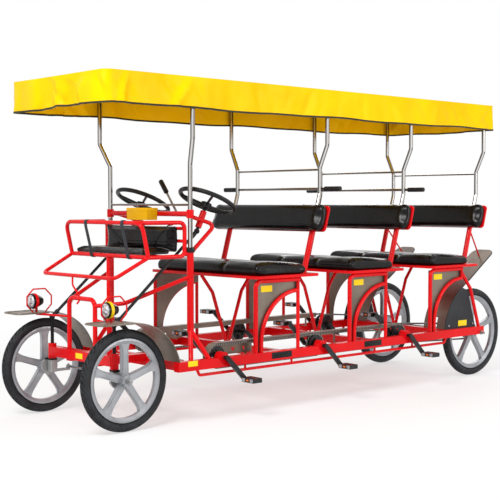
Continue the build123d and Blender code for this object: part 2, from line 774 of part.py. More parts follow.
for number in range(3):
    front_x = bench_x[number]
    rear_x = front_x - hoop_depth
    arc_x = front_x - hoop_arc_inset
    arc_radius = arc_x - rear_x
    with BuildPart() as bench_frame:
        add(bar([(front_x, rail_y, rail_top), (front_x, rail_y, hoop_top_z), (rear_x, rail_y, hoop_top_z)],
                hoop_tube_diameter, bend_radius))
        add(arc_tube(arc_x, rear_x))
        if number < 2:
            pillar(rear_x, rail_y, (rail_top, hoop_top_z), leg_tube_diameter)
        else:
            add(bar([(rear_axle_x, rail_y, rail_top), (rear_x - stay_knee_back, rail_y, stay_knee_z),
                     (rear_x, rail_y, hoop_top_z - hoop_tube_diameter)], stay_tube_diameter, bend_radius))
            pillar(rear_x, rail_y, (arc_low_z + arc_radius, hoop_top_z), leg_tube_diameter)
        with Locations((rear_x, rail_y, hoop_top_z)):
            Sphere(hoop_tube_diameter / 2)
        mirror(about=Plane.XZ)
        for reach in (1, -1):
            leg_x = cross_x[number]
            add(bar([(leg_x + reach * leg_tube_diameter * 0.4, 0, rail_top),
                     (leg_x + reach * centre_leg_knee, 0, seat_base_z - centre_leg_knee_drop),
                     (leg_x + reach * centre_leg_spread, 0, seat_base_z)], leg_tube_diameter, bend_radius))
        split(bisect_by=Plane.XY.offset(rail_top), keep=Keep.TOP)
        split(bisect_by=Plane.XY.offset(seat_base_z), keep=Keep.BOTTOM)
    save(bench_frame.part, f"bench_frame_{number + 1}")

# Seat bases on the hoops
with BuildPart() as seat_bases:
    for front_x in bench_x:
        base_front = front_x + seat_base_front
        block((base_front - seat_base_depth, base_front), (-seat_base_width / 2, seat_base_width / 2),
              (seat_base_z, seat_base_top))
    fillet(seat_bases.edges().filter_by(Axis.Z), seat_base_corner)
save(seat_bases.part, "seat_bases")

# Seat cushions
for number in range(3):
    cushion_x = bench_x[number] + cushion_front
    with BuildPart() as seat_cushion:
        block((cushion_x - cushion_depth, cushion_x), (-cushion_width / 2, cushion_width / 2),
              (seat_base_top, seat_base_top + cushion_thickness))
        fillet(seat_cushion.edges().filter_by(Axis.Z), cushion_round)
        fillet(seat_cushion.edges().group_by(Axis.Z)[-1], cushion_round)
    save(seat_cushion.part, f"seat_cushion_{number + 1}")

# Side panels behind the hoops
panel_y = rail_y - hoop_tube_diameter / 2
with BuildPart() as seat_panels:
    for front_x in bench_x:
        rear_x = front_x - hoop_depth
        arc_x = front_x - hoop_arc_inset
        arc_radius = arc_x - rear_x
        with BuildSketch(Plane.XZ.offset(-panel_y)):
            with BuildLine():
                Polyline((rear_x, arc_low_z + arc_radius), (rear_x, hoop_top_z), (front_x, hoop_top_z),
                         (front_x, rail_top), (arc_x, rail_top), (arc_x, arc_low_z))
                ThreePointArc((arc_x, arc_low_z),
                              (rear_x + arc_radius * cos(radians(45)), arc_low_z + arc_radius * sin(radians(45))),
                              (rear_x, arc_low_z + arc_radius))
            make_face()
        extrude(amount=panel_thickness)
    mirror(about=Plane.XZ)
save(seat_panels.part, "seat_panels")


# Backrests: two leaning posts with a shell welded to them, and a pad
def post_foot(number, side):
    return Vector(bench_x[number] - backrest_post_from_bench, side * backrest_post_y, seat_base_top)


def backrest_plane(number):
    return Plane(post_foot(number, 0) + lean * (backrest_bottom + backrest_height / 2), x_dir=(0, 1, 0), z_dir=lean_front)


shell_back = backrest_post_diameter / 2 - backrest_shell_sink
pad_back = shell_back + backrest_shell_thickness
with BuildPart() as backrest_frames:
    for number in range(3):
        for side in sides:
            foot = post_foot(number, side)
            add(rod(foot - lean * backrest_post_diameter, foot + lean * backrest_post_length, backrest_post_diameter))
        with BuildSketch(backrest_plane(number).offset(shell_back)):
            RectangleRounded(backrest_width, backrest_height, backrest_round)
        extrude(amount=backrest_shell_thickness)
    split(bisect_by=Plane.XY.offset(seat_base_top), keep=Keep.TOP)
save(backrest_frames.part, "backrest_frames")

for number in range(3):
    with BuildPart() as backrest_pad:
        with BuildSketch(backrest_plane(number).offset(pad_back)):
            RectangleRounded(backrest_width, backrest_height, backrest_round)
        extrude(amount=backrest_pad_thickness)
        fillet(backrest_pad.faces().sort_by(Axis((0, 0, 0), lean_front))[-1].edges(), backrest_round)
    save(backrest_pad.part, f"backrest_pad_{number + 1}")


# Canopy posts: a plain run, a bend outwards, then a plain run up to the canopy frame
def post_points(number, side):
    foot = post_foot(number, side) + lean * backrest_post_length
    knee = foot + lean * post_knee
    return [foot, knee, Vector(knee.X, knee.Y, post_bend_low_z),
            Vector(knee.X, knee.Y + side * post_splay, post_bend_high_z),
            Vector(knee.X, knee.Y + side * post_splay, post_top_z)]


def front_post_points(side):
    top_x = upright_x + front_post_forward
    top_y = side * (upright_y + post_splay)
    return [Vector(upright_x, side * upright_y, upright_top_z), Vector(upright_x, side * upright_y, post_bend_low_z),
            Vector(top_x, top_y, post_bend_high_z), Vector(top_x, top_y, post_top_z)]


post_x = [post_points(number, 1)[1].X for number in range(3)]
with BuildPart() as canopy_posts:
    for side in sides:
        add(bar(front_post_points(side), post_diameter, post_bend_radius))
        for number in range(3):
            add(bar(post_points(number, side), post_diameter, post_bend_radius))
save(canopy_posts.part, "canopy_posts")

# Bars between the posts, ended on the posts' round sides
with BuildPart() as crossbars:
    for bar_x, bar_z in [(upright_x, front_crossbar_z)] + [(x, crossbar_z) for x in post_x]:
        drum(bar_x, (-backrest_post_y, backrest_post_y), bar_z, crossbar_diameter)
        for side in sides:
            pillar(bar_x, side * backrest_post_y, (bar_z - post_diameter, bar_z + post_diameter), post_diameter,
                   mode=Mode.SUBTRACT)
save(crossbars.part, "crossbars")

# Hold bars behind the first two benches, for those who sit behind, with rubber grips
hold_bar_back = (post_diameter + hold_bar_diameter) / 2
with BuildPart() as hold_bars:
    for x in post_x[:2]:
        drum(x - hold_bar_back, (-hold_bar_half_length, hold_bar_half_length), hold_bar_z, hold_bar_diameter)
save(hold_bars.part, "hold_bars")

with BuildPart() as hold_grips:
    for x in post_x[:2]:
        for side in sides:
            grip_end = hold_bar_half_length + grip_cap
            drum(x - hold_bar_back, (side * (grip_end - grip_length), side * grip_end), hold_bar_z, grip_diameter)
            drum(x - hold_bar_back, (side * (grip_end - grip_length), side * hold_bar_half_length), hold_bar_z,
                 hold_bar_diameter, mode=Mode.SUBTRACT)
save(hold_grips.part, "hold_grips")

# Canopy frame on the posts and the canopy sheet over it
canopy_front_x = front_axle_x + canopy_front
canopy_rear_x = front_axle_x - canopy_rear
frame_half = canopy_frame_tube / 2
with BuildPart() as canopy_frame:
    for side in sides:
        block((canopy_rear_x + canopy_frame_inset, canopy_front_x - canopy_frame_inset),
              (side * (canopy_rail_y - frame_half), side * (canopy_rail_y + frame_half)),
              (post_top_z, canopy_top_z - canopy_sheet))
    for bow_x in [upright_x + front_post_forward, *post_x]:
        block((bow_x - frame_half, bow_x + frame_half), (frame_half - canopy_rail_y, canopy_rail_y - frame_half),
              (post_top_z, canopy_top_z - canopy_sheet))
save(canopy_frame.part, "canopy_frame")

with BuildPart() as canopy:
    block((canopy_rear_x, canopy_front_x), (-canopy_half_width, canopy_half_width), (canopy_skirt_z, canopy_top_z))
    fillet(canopy.edges().filter_by(Axis.Z), canopy_corner)
    fillet(canopy.edges().group_by(Axis.Z)[-1], canopy_edge)
    offset(amount=-canopy_sheet, openings=canopy.faces().sort_by(Axis.Z)[0])
save(canopy.part, "canopy")

# Rear fenders: an arc up from the last cross member, then a straight tail
turn = radians(rear_fender_turn)
fender_mid = rear_fender_radius + rear_fender_sheet / 2
turn_start = asin((rail_z - rear_radius) / fender_mid)
rear_fender_y = (rear_fender_inner_y + rear_fender_outer_y) / 2


def around_rear_wheel(radius, angle, y):
    return Vector(rear_axle_x + radius * cos(angle), y, rear_radius + radius * sin(angle))


with BuildPart() as rear_fenders:
    tail_start = around_rear_wheel(fender_mid, turn, rear_fender_y)
    tail_run = Vector(-sin(turn), 0, cos(turn)) * rear_fender_tail
    with BuildLine() as rear_path:
        ThreePointArc(around_rear_wheel(fender_mid, turn_start, rear_fender_y),
                      around_rear_wheel(fender_mid, (turn_start + turn) / 2, rear_fender_y), tail_start)
        Line(tail_start, tail_start + tail_run)
    with BuildSketch(Plane(rear_path.line @ 0, x_dir=(0, 1, 0), z_dir=rear_path.line % 0)):
        Rectangle(rear_fender_outer_y - rear_fender_inner_y, rear_fender_sheet)
    sweep()
    fillet(rear_fenders.edges().filter_by(GeomType.LINE).filter_by(
        lambda edge: edge.length < 2 * rear_fender_sheet).sort_by(Axis.Z)[-2:], rear_fender_corner)
    split(bisect_by=Plane.XY.offset(rail_top), keep=Keep.TOP)
    block((rear_axle_x, rear_axle_x + 2 * rear_fender_radius),
          (final_chain_y - chain_notch_width / 2, final_chain_y + chain_notch_width / 2),
          (rail_top, rail_top + chain_notch_height), mode=Mode.SUBTRACT)
    mirror(about=Plane.XZ)
save(rear_fenders.part, "rear_fenders")

# Wheel covers that stand on the rails outside the rear wheels
cover_radius = rear_radius + cover_gap
cover_start = asin((rail_top - rear_radius) / cover_radius)
cover_top = radians(cover_top_angle)
last_rear_x = bench_x[2] - hoop_depth
stay_slope = (last_rear_x - stay_knee_back - rear_axle_x) / (stay_knee_z - rail_top)
with BuildPart() as wheel_covers:
    tip = around_rear_wheel(cover_radius, cover_top, 0)
    shoulder_z = tip.Z - stay_tube_diameter
    rear_edge_x = rear_axle_x + stay_tube_diameter / 2 + cover_rear_gap
    with BuildSketch(Plane.XZ.offset(-cover_y)):
        with BuildLine():
            CenterArc((rear_axle_x, rear_radius), cover_radius, degrees(cover_start),
                      cover_top_angle - degrees(cover_start))
            Polyline((tip.X, tip.Z), (rear_edge_x + stay_slope * (shoulder_z - rail_top), shoulder_z),
                     (rear_edge_x, rail_top), (around_rear_wheel(cover_radius, cover_start, 0).X, rail_top))
        make_face()
        fillet(vertices().group_by(Axis.Y)[-1] + vertices().group_by(Axis.Y)[-2], cover_corner)
    extrude(amount=-cover_thickness)
    mirror(about=Plane.XZ)
save(wheel_covers.part, "wheel_covers")


# Cranks: axle, chainrings, two arms and their pedals
def crank_solid(number, side):
    x = crank_x(number, side)
    outer_angle = crank_angle if side > 0 else crank_angle - 180
    rings = [(front_chain_y,), (front_chain_y, middle_chain_y), (middle_chain_y, final_chain_y)][number]
    with BuildPart() as crank:
        drum(x, (crank_inner_y, crank_outer_y), crank_z, crank_axle_diameter)
        for ring_y in rings:
            with BuildSketch(Plane.XZ.offset(-ring_y)):
                with Locations((x, crank_z)):
                    Circle(chainring_radius)
                    with PolarLocations(chainring_radius * 0.58, 5):
                        Circle(chainring_window / 2, mode=Mode.SUBTRACT)
            extrude(amount=chainring_thickness / 2, both=True)
        ends = ((crank_outer_y, outer_angle, 1), (crank_inner_y + crank_arm_thickness, outer_angle + 180, -1))
        for arm_y, angle, way in ends:
            dx = crank_length * cos(radians(angle))
            dz = crank_length * sin(radians(angle))
            with BuildSketch(Plane.XZ.offset(-arm_y)):
                with Locations((x + dx / 2, crank_z + dz / 2)):
                    SlotCenterToCenter(crank_length, crank_arm_width, rotation=angle)
            extrude(amount=crank_arm_thickness)
            arm_face = arm_y if way > 0 else arm_y - crank_arm_thickness
            pedal_x = x + dx
            pedal_z = crank_z + dz
            pedal_y = arm_face + way * pedal_offset
            drum(pedal_x, (arm_face, pedal_y + way * pedal_length), pedal_z, pedal_spindle_diameter)
            block((pedal_x - pedal_width / 2, pedal_x + pedal_width / 2), (pedal_y, pedal_y + way * pedal_length),
                  (pedal_z - pedal_thickness / 2, pedal_z + pedal_thickness / 2))
            for window in (-1, 1):
                window_x = pedal_x + window * (pedal_width + pedal_spindle_diameter) / 4
                block((window_x - pedal_window / 4, window_x + pedal_window / 4),
                      (pedal_y + way * pedal_length * 0.12, pedal_y + way * pedal_length * 0.88),
                      (pedal_z - pedal_thickness, pedal_z + pedal_thickness), mode=Mode.SUBTRACT)
    return crank.part


for number in range(3):
    for side in sides:
        with BuildPart() as crank_set:
            if side > 0:
                add(crank_solid(number, side))
            else:
                mirror(crank_solid(number, side), about=Plane.XZ)
        save(crank_set.part, f"crank_{side_name(side)}_{number + 1}")


# Chains: one loop from each crank to the next and one to the rear wheel
def chain_solid(start, end, chain_y):
    loop_height = chain_clearance + chain_height
    with BuildPart() as chain:
        for extra, mode in ((loop_height, Mode.ADD), (chain_clearance, Mode.SUBTRACT)):
            with BuildSketch(Plane.XZ.offset(-chain_y)):
                for x, z, radius in (start, end):
                    with Locations((x, z)):
                        Circle(radius + extra)
                make_hull()
            extrude(amount=chain_width / 2, both=True, mode=mode)
    return chain.part


with BuildPart() as drive_chains:
    for side in sides:
        turns = [(crank_x(number, side), crank_z, chainring_radius) for number in range(3)]
        axle = (rear_axle_x, rear_radius, sprocket_radius)
        add(chain_solid(turns[0], turns[1], side * front_chain_y))
        add(chain_solid(turns[1], turns[2], side * middle_chain_y))
        add(chain_solid(turns[2], axle, side * final_chain_y))
save(drive_chains.part, "drive_chains")


# Chain guards: a pierced plate round the first chainring that runs back as a strip, under a flange
def guard_solid(side):
    front_x = crank_x(0, side)
    tail_x = crank_x(2, side) + guard_tail
    guard_top = crank_z + guard_radius
    guard_low = crank_z - guard_skirt
    plate_end_x = front_x - guard_front_length
    with BuildPart() as guard:
        with BuildSketch(Plane.XZ.offset(-guard_plate_y)):
            with Locations((front_x, crank_z)):
                Circle(guard_radius)
            with Locations(((front_x + tail_x) / 2, crank_z + guard_radius / 2)):
                Rectangle(front_x - tail_x, guard_radius)
            with Locations((front_x - guard_radius, guard_low - guard_radius / 2)):
                Rectangle(4 * guard_radius, guard_radius, mode=Mode.SUBTRACT)
            with Locations(((plate_end_x + tail_x) / 2, (guard_low + guard_top - guard_strip_height) / 2)):
                Rectangle(plate_end_x - tail_x, guard_top - guard_strip_height - guard_low, mode=Mode.SUBTRACT)
            with Locations((front_x, crank_z)):
                Circle(guard_axle_hole / 2, mode=Mode.SUBTRACT)
            for place in (0.5, 0.8):
                with Locations((front_x - guard_front_length * place, crank_z + guard_radius * 0.4)):
                    with Locations((-heart_size / 4, 0), (heart_size / 4, 0)):
                        Circle(heart_size / 3.6, mode=Mode.SUBTRACT)
                    Polygon((-heart_size / 2, -heart_size / 12), (heart_size / 2, -heart_size / 12),
                            (0, -heart_size * 0.7), align=None, mode=Mode.SUBTRACT)
        extrude(amount=-guard_sheet)
        with BuildSketch(Plane.XZ.offset(-guard_plate_y)):
            for radius, mode in ((guard_radius, Mode.ADD), (guard_radius - guard_sheet, Mode.SUBTRACT)):
                with Locations((front_x, crank_z)):
                    Circle(radius, mode=mode)
                with Locations(((front_x + tail_x) / 2, crank_z)):
                    Rectangle(front_x - tail_x, 2 * radius, mode=mode)
            with Locations(((front_x + tail_x) / 2, crank_z - 2 * guard_radius)):
                Rectangle(2 * (front_x - tail_x), 4 * guard_radius, mode=Mode.SUBTRACT)
        extrude(amount=-guard_flange_width)
        for place in (0.16, 0.65, 0.93):
            bracket_x = front_x + (tail_x - front_x) * place
            bracket = (bracket_x - guard_bracket_width / 2, bracket_x + guard_bracket_width / 2)
            foot_z = (rail_top - 3 * guard_sheet, rail_top - 2 * guard_sheet)
            block(bracket, (guard_plate_y, rail_inner_y), foot_z)
            block(bracket, (guard_plate_y, guard_plate_y + guard_sheet), (foot_z[0], guard_top - guard_strip_height))
    return guard.part


with BuildPart() as chain_guards:
    add(guard_solid(1))
    mirror(guard_solid(-1), about=Plane.XZ)
save(chain_guards.part, "chain_guards")
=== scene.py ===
import json
import math
import random

import bmesh
import bpy
from mathutils import Matrix, Vector


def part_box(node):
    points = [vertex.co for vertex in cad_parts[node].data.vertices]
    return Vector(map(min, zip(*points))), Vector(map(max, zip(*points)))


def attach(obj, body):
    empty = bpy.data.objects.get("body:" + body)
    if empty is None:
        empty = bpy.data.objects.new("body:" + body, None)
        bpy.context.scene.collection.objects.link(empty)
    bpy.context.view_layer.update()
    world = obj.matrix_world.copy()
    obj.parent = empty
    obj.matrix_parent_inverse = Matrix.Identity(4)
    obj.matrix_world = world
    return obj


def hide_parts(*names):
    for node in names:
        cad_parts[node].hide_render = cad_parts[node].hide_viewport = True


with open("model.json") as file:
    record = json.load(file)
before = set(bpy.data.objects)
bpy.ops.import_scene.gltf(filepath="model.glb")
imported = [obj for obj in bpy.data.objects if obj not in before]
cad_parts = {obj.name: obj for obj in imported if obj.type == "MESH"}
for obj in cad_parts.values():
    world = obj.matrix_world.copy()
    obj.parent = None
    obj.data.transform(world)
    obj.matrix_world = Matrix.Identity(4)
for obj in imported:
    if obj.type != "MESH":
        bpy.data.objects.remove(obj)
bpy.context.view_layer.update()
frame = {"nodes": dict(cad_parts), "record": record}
nodes = frame["nodes"]
sideNames = {1: "left", -1: "right"}
wheelBodies = [f"{end}_wheel_{word}" for end in ("front", "rear") for word in sideNames.values()]


# small tools used by every piece

def deselectAll():
    if bpy.context.mode != "OBJECT":
        bpy.ops.object.mode_set(mode="OBJECT")
    bpy.ops.object.select_all(action="DESELECT")


def makeActive(piece):
    deselectAll()
    piece.select_set(True)
    bpy.context.view_layer.objects.active = piece


def nameIt(name):
    piece = bpy.context.active_object
    piece.name = name
    piece.data.name = name
    return piece


def settle(piece):  # place, turn and scale go into the mesh
    makeActive(piece)
    bpy.ops.object.transform_apply(location=True, rotation=True, scale=True)
    return piece


def addShape(name, kind, **settings):
    deselectAll()
    getattr(bpy.ops.mesh, f"primitive_{kind}_add")(**settings)
    return nameIt(name)


def addBlock(name, size, place=(0, 0, 0)):
    block = addShape(name, "cube", size=1, location=place)
    block.scale = size
    return settle(block)


def middleOf(box):
    return (box[0] + box[1]) / 2


def cutLevel(heights):  # level cuts through the piece in edit mode
    for height in heights:
        bpy.ops.mesh.select_all(action="SELECT")
        bpy.ops.mesh.bisect(plane_co=(0, 0, height), plane_no=(0, 0, 1))


def applyModifier(piece, kind, **settings):
    modifier = piece.modifiers.new(kind.title(), kind)
    for key, value in settings.items():
        setattr(modifier, key, value)
    makeActive(piece)
    bpy.ops.object.modifier_apply(modifier=modifier.name)


def editPiece(piece):
    makeActive(piece)
    bpy.ops.object.mode_set(mode="EDIT")


def leaveEdit():
    bpy.ops.object.mode_set(mode="OBJECT")


def pick(test, kind="FACE"):  # selects by place and normal
    bpy.ops.mesh.select_mode(type=kind)
    bpy.ops.mesh.select_all(action="DESELECT")
    mesh = bmesh.from_edit_mesh(bpy.context.edit_object.data)
    if kind == "FACE":
        for face in mesh.faces:
            face.select_set(test(face.calc_center_median(), face.normal))
    elif kind == "EDGE":
        for edge in mesh.edges:
            edge.select_set(test((edge.verts[0].co + edge.verts[1].co) / 2, edge))
    else:
        for point in mesh.verts:
            point.select_set(test(point.co, point))
    mesh.select_flush_mode()
    bmesh.update_edit_mesh(bpy.context.edit_object.data)


def movePoints(piece, rule):
    for point in piece.data.vertices:
        point.co = rule(point.co)
    piece.data.update()


def copyOf(piece, name, shift):
    twin = piece.copy()
    twin.data = piece.data.copy()
    twin.name = name
    twin.data.name = name
    bpy.context.scene.collection.objects.link(twin)
    moveBy(twin, shift)
    return twin


def joinPieces(pieces, name):
    deselectAll()
    for piece in pieces:
        piece.select_set(True)
    bpy.context.view_layer.objects.active = pieces[0]
    if len(pieces) > 1:
        bpy.ops.object.join()
    return nameIt(name)


def smoothByAngle(piece, degrees=35):
    makeActive(piece)
    bpy.ops.object.shade_smooth_by_angle(angle=math.radians(degrees))


def outward(piece):
    editPiece(piece)
    bpy.ops.mesh.select_all(action="SELECT")
    bpy.ops.mesh.remove_doubles(threshold=1e-5)
    bpy.ops.mesh.normals_make_consistent(inside=False)
    leaveEdit()


def moveBy(piece, shift):
    piece.data.transform(Matrix.Translation(shift))


def extrudeBy(shift):
    bpy.ops.mesh.extrude_region_move(TRANSFORM_OT_translate={"value": shift})


def finishPiece(piece, body, slot, finish=None):  # without a finish of its own it takes its slot's
    piece.data.materials.clear()
    piece.data.materials.append(finish or finishes[slot])
    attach(piece, body)
    return piece


# finishes: each is a shader with its own grain, in object space

def startFinish(name, colour, roughness, **sockets):
    finish = bpy.data.materials.new(name)
    finish.use_nodes = True
    shader = finish.node_tree.nodes["Principled BSDF"]
    shader.inputs["Base Color"].default_value = (*colour, 1)
    shader.inputs["Roughness"].default_value = roughness
    for key, value in sockets.items():
        shader.inputs[key.replace("_", " ")].default_value = value
    return finish


def shaderOf(finish):
    return finish.node_tree.nodes["Principled BSDF"]


def objectSpace(finish):
    for node in finish.node_tree.nodes:
        if node.bl_idname == "ShaderNodeTexCoord":
            return node.outputs["Object"]
    return addNode(finish.node_tree, "TexCoord", {})["Object"]


def addNode(tree, kind, sockets, **settings):  # sockets take values or links from other nodes
    node = tree.nodes.new("ShaderNode" + kind)
    for key, value in settings.items():
        setattr(node, key, value)
    for key, value in sockets.items():
        if isinstance(value, bpy.types.NodeSocket):
            tree.links.new(value, node.inputs[key])
        else:
            node.inputs[key].default_value = value
    return node.outputs


def addNoise(finish, scale, detail=4.0, stretch=None):
    tree = finish.node_tree
    place = objectSpace(finish)
    if stretch:
        place = addNode(tree, "Mapping", {"Scale": stretch, "Vector": place})["Vector"]
    return addNode(tree, "TexNoise", {"Scale": scale, "Detail": detail, "Vector": place})["Fac"]


def addCells(finish, scale):
    sockets = {"Scale": scale, "Vector": objectSpace(finish)}
    return addNode(finish.node_tree, "TexVoronoi", sockets, feature="F1")["Distance"]


def addBands(finish, period, direction):
    sockets = {"Scale": 2 * math.pi / (20 * period), "Vector": objectSpace(finish)}
    return addNode(finish.node_tree, "TexWave", sockets, bands_direction=direction)["Fac"]


def mapRange(tree, source, before, after):
    sockets = dict(zip(("From Min", "From Max", "To Min", "To Max"), (*before, *after)))
    return addNode(tree, "MapRange", {"Value": source, **sockets})["Result"]


def addMath(tree, operation, *values):
    return addNode(tree, "Math", dict(enumerate(values)), operation=operation)["Value"]


def splitAxes(tree, source):
    return addNode(tree, "SeparateXYZ", {"Vector": source})


def mixColours(finish, share, first, second):  # each colour may also be a socket
    sockets = {"Factor": share}
    for place, colour in ((6, first), (7, second)):
        sockets[place] = colour if isinstance(colour, bpy.types.NodeSocket) else (*colour, 1)
    tree = finish.node_tree
    mixed = addNode(tree, "Mix", sockets, data_type="RGBA")[2]
    tree.links.new(mixed, shaderOf(finish).inputs["Base Color"])


def varyColour(finish, source, dark, light, low=0.35, high=0.65):
    mixColours(finish, mapRange(finish.node_tree, source, (low, high), (0, 1)), dark, light)


def varyRoughness(finish, source, low, high):
    tree = finish.node_tree
    tree.links.new(mapRange(tree, source, (0.3, 0.7), (low, high)), shaderOf(finish).inputs["Roughness"])


def addBump(finish, source, strength, distance):
    tree = finish.node_tree
    normal = shaderOf(finish).inputs["Normal"]
    sockets = {"Strength": strength, "Distance": distance, "Height": source}
    if normal.is_linked:
        sockets["Normal"] = normal.links[0].from_socket
    tree.links.new(addNode(tree, "Bump", sockets)["Normal"], normal)


def splitColour(finish, axis, edge, below, above):  # one colour under a height or side, another past it
    tree = finish.node_tree
    place = splitAxes(tree, objectSpace(finish))[axis]
    mixColours(finish, addMath(tree, "GREATER_THAN", place, edge), below, above)


def byNormal(finish):  # 0 to 1 across a round bar, from its world normal; it places the chrome's painted reflection streaks
    tree = finish.node_tree
    parts = splitAxes(tree, addNode(tree, "NewGeometry", {})["Normal"])
    squares = [addMath(tree, "MULTIPLY", parts[axis], parts[axis]) for axis in ("X", "Y")]
    return addMath(tree, "ABSOLUTE", addMath(tree, "SUBTRACT", *squares))


def makeGrained(name, colour, rough, tone, wear, grain, **sockets):  # the last three start with a noise scale
    finish = startFinish(name, colour, rough, **sockets)
    varyColour(finish, addNoise(finish, tone[0]), *tone[1:])
    varyRoughness(finish, addNoise(finish, wear[0]), *wear[1:])
    addBump(finish, addNoise(finish, *grain[:2]), *grain[2:])
    return finish


def makeRedGloss(name="redGloss"):
    return makeGrained(name, (0.70, 0.004, 0.007), 0.20, (2.5, (0.62, 0.003, 0.005), (0.76, 0.005, 0.008)),
                       (30, 0.14, 0.28), (260, 2, 0.05, 0.0006), Specular_IOR_Level=0.16)


def makePaint(name, dark, light, rough, metallic=0.0, flake=700, shine=0.22):
    return makeGrained(name, dark, rough, (6, dark, light), (45, rough - 0.07, rough + 0.09),
                       (flake, 2, 0.05, 0.0004), Metallic=metallic, Specular_IOR_Level=shine)


def makeRubber(name, dark, light, grain):
    return makeGrained(name, dark, 0.62, (16, dark, light), (50, 0.5, 0.74), (grain, 3, 0.12, 0.0008),
                       Specular_IOR_Level=0.25)


def makeChrome():
    finish = startFinish("polishedChrome", (0.62, 0.62, 0.62), 0.12, Metallic=1.0)
    # painted reflection: the chrome's colour is darkened in streaks across each round bar, set by its world
    # normal
    varyColour(finish, byNormal(finish), (0.70, 0.70, 0.70), (0.135, 0.120, 0.105), 0.36, 0.86)
    varyRoughness(finish, addNoise(finish, 40, 4, (1, 1, 0.15)), 0.07, 0.19)
    addBump(finish, addNoise(finish, 160, 2), 0.03, 0.0004)
    return finish


def makeChainFinish(pitch):  # dark gaps between the links are painted shade, worn bright plates
    finish = startFinish("rollerChain", (0.2, 0.2, 0.2), 0.4, Metallic=0.85)
    # painted shade: dark bands at the gaps between the links
    varyColour(finish, addBands(finish, pitch, "X"), (0.018, 0.017, 0.016), (0.24, 0.23, 0.215), 0.15, 0.6)
    varyRoughness(finish, addNoise(finish, 90), 0.3, 0.55)
    addBump(finish, addBands(finish, pitch, "X"), 0.6, 0.003)
    return finish


def makeVinyl():
    finish = startFinish("blackVinyl", (0.004, 0.0037, 0.0038), 0.22, Specular_IOR_Level=0.20)
    varyColour(finish, addNoise(finish, 14), (0.003, 0.0028, 0.0029), (0.006, 0.0056, 0.0057))
    varyRoughness(finish, addNoise(finish, 60), 0.17, 0.29)
    addBump(finish, addCells(finish, 520), 0.02, 0.0003)
    addBump(finish, addNoise(finish, 18, 2), 0.06, 0.0016)
    return finish


def makeCanopyCloth():
    finish = startFinish("yellowCanvas", (0.92, 0.55, 0.001), 0.34, Specular_IOR_Level=0.05)
    varyColour(finish, addNoise(finish, 3, 3), (0.88, 0.51, 0.0005), (0.97, 0.60, 0.001))
    varyRoughness(finish, addNoise(finish, 35), 0.26, 0.44)
    addBump(finish, addBands(finish, 0.0032, "X"), 0.05, 0.0006)
    addBump(finish, addBands(finish, 0.0032, "DIAGONAL"), 0.04, 0.0006)
    addBump(finish, addNoise(finish, 18), 0.16, 0.005)
    addBump(finish, addNoise(finish, 3.5, 1.5, (1, 1, 0.8)), 0.70, 0.060)
    return finish


def makeLens():  # a faceted bright reflector under clear glass, its facets coloured bright and dark as painted reflection
    finish = startFinish("lampGlass", (0.8, 0.8, 0.82), 0.06, Metallic=0.3, Coat_Weight=0.6)
    # painted reflection: each facet gets a bright or a dark colour at random
    varyColour(finish, addCells(finish, 95), (0.92, 0.93, 0.95), (0.20, 0.21, 0.23), 0.25, 0.75)
    varyRoughness(finish, addNoise(finish, 120), 0.03, 0.14)
    addBump(finish, addCells(finish, 95), 0.5, 0.002)
    return finish


def makeLeverFinish(gripHeight):
    finish = startFinish("leverSteelAndGrip", (0.3, 0.3, 0.3), 0.4, Metallic=0.2, Specular_IOR_Level=0.3)
    splitColour(finish, "Z", gripHeight, (0.20, 0.185, 0.165), (0.007, 0.007, 0.007))
    varyRoughness(finish, addNoise(finish, 60), 0.32, 0.55)
    return finish


def makeKnuckleFinish(steelTop):  # bright hub end, black pivot above it
    finish = startFinish("knuckleSteelAndBlack", (0.3, 0.3, 0.3), 0.36, Metallic=0.5, Specular_IOR_Level=0.3)
    splitColour(finish, "Z", steelTop, (0.34, 0.34, 0.34), (0.009, 0.009, 0.0095))
    varyRoughness(finish, addNoise(finish, 70), 0.28, 0.5)
    addBump(finish, addNoise(finish, 300, 2), 0.06, 0.0004)
    return finish


def makeLampFinish(middle, halfLong, reach):  # black barrels, red guards and stems
    finish = makeRedGloss("lampRedAndBlack")
    tree = finish.node_tree
    red = shaderOf(finish).inputs["Base Color"].links[0].from_socket
    parts = splitAxes(tree, objectSpace(finish))
    across = addMath(tree, "SUBTRACT", addMath(tree, "ABSOLUTE", parts["Y"]), middle.y)
    rise = addMath(tree, "SUBTRACT", parts["Z"], middle.z)
    along = addMath(tree, "ABSOLUTE", addMath(tree, "SUBTRACT", parts["X"], middle.x))
    ring = addNode(tree, "CombineXYZ", {"Y": across, "Z": rise})["Vector"]
    size = addNode(tree, "VectorMath", {0: ring}, operation="LENGTH")["Value"]
    inRing = addMath(tree, "LESS_THAN", size, reach)
    inLength = addMath(tree, "LESS_THAN", along, halfLong)
    mixColours(finish, addMath(tree, "MULTIPLY", inRing, inLength), red, (0.008, 0.008, 0.009))
    return finish


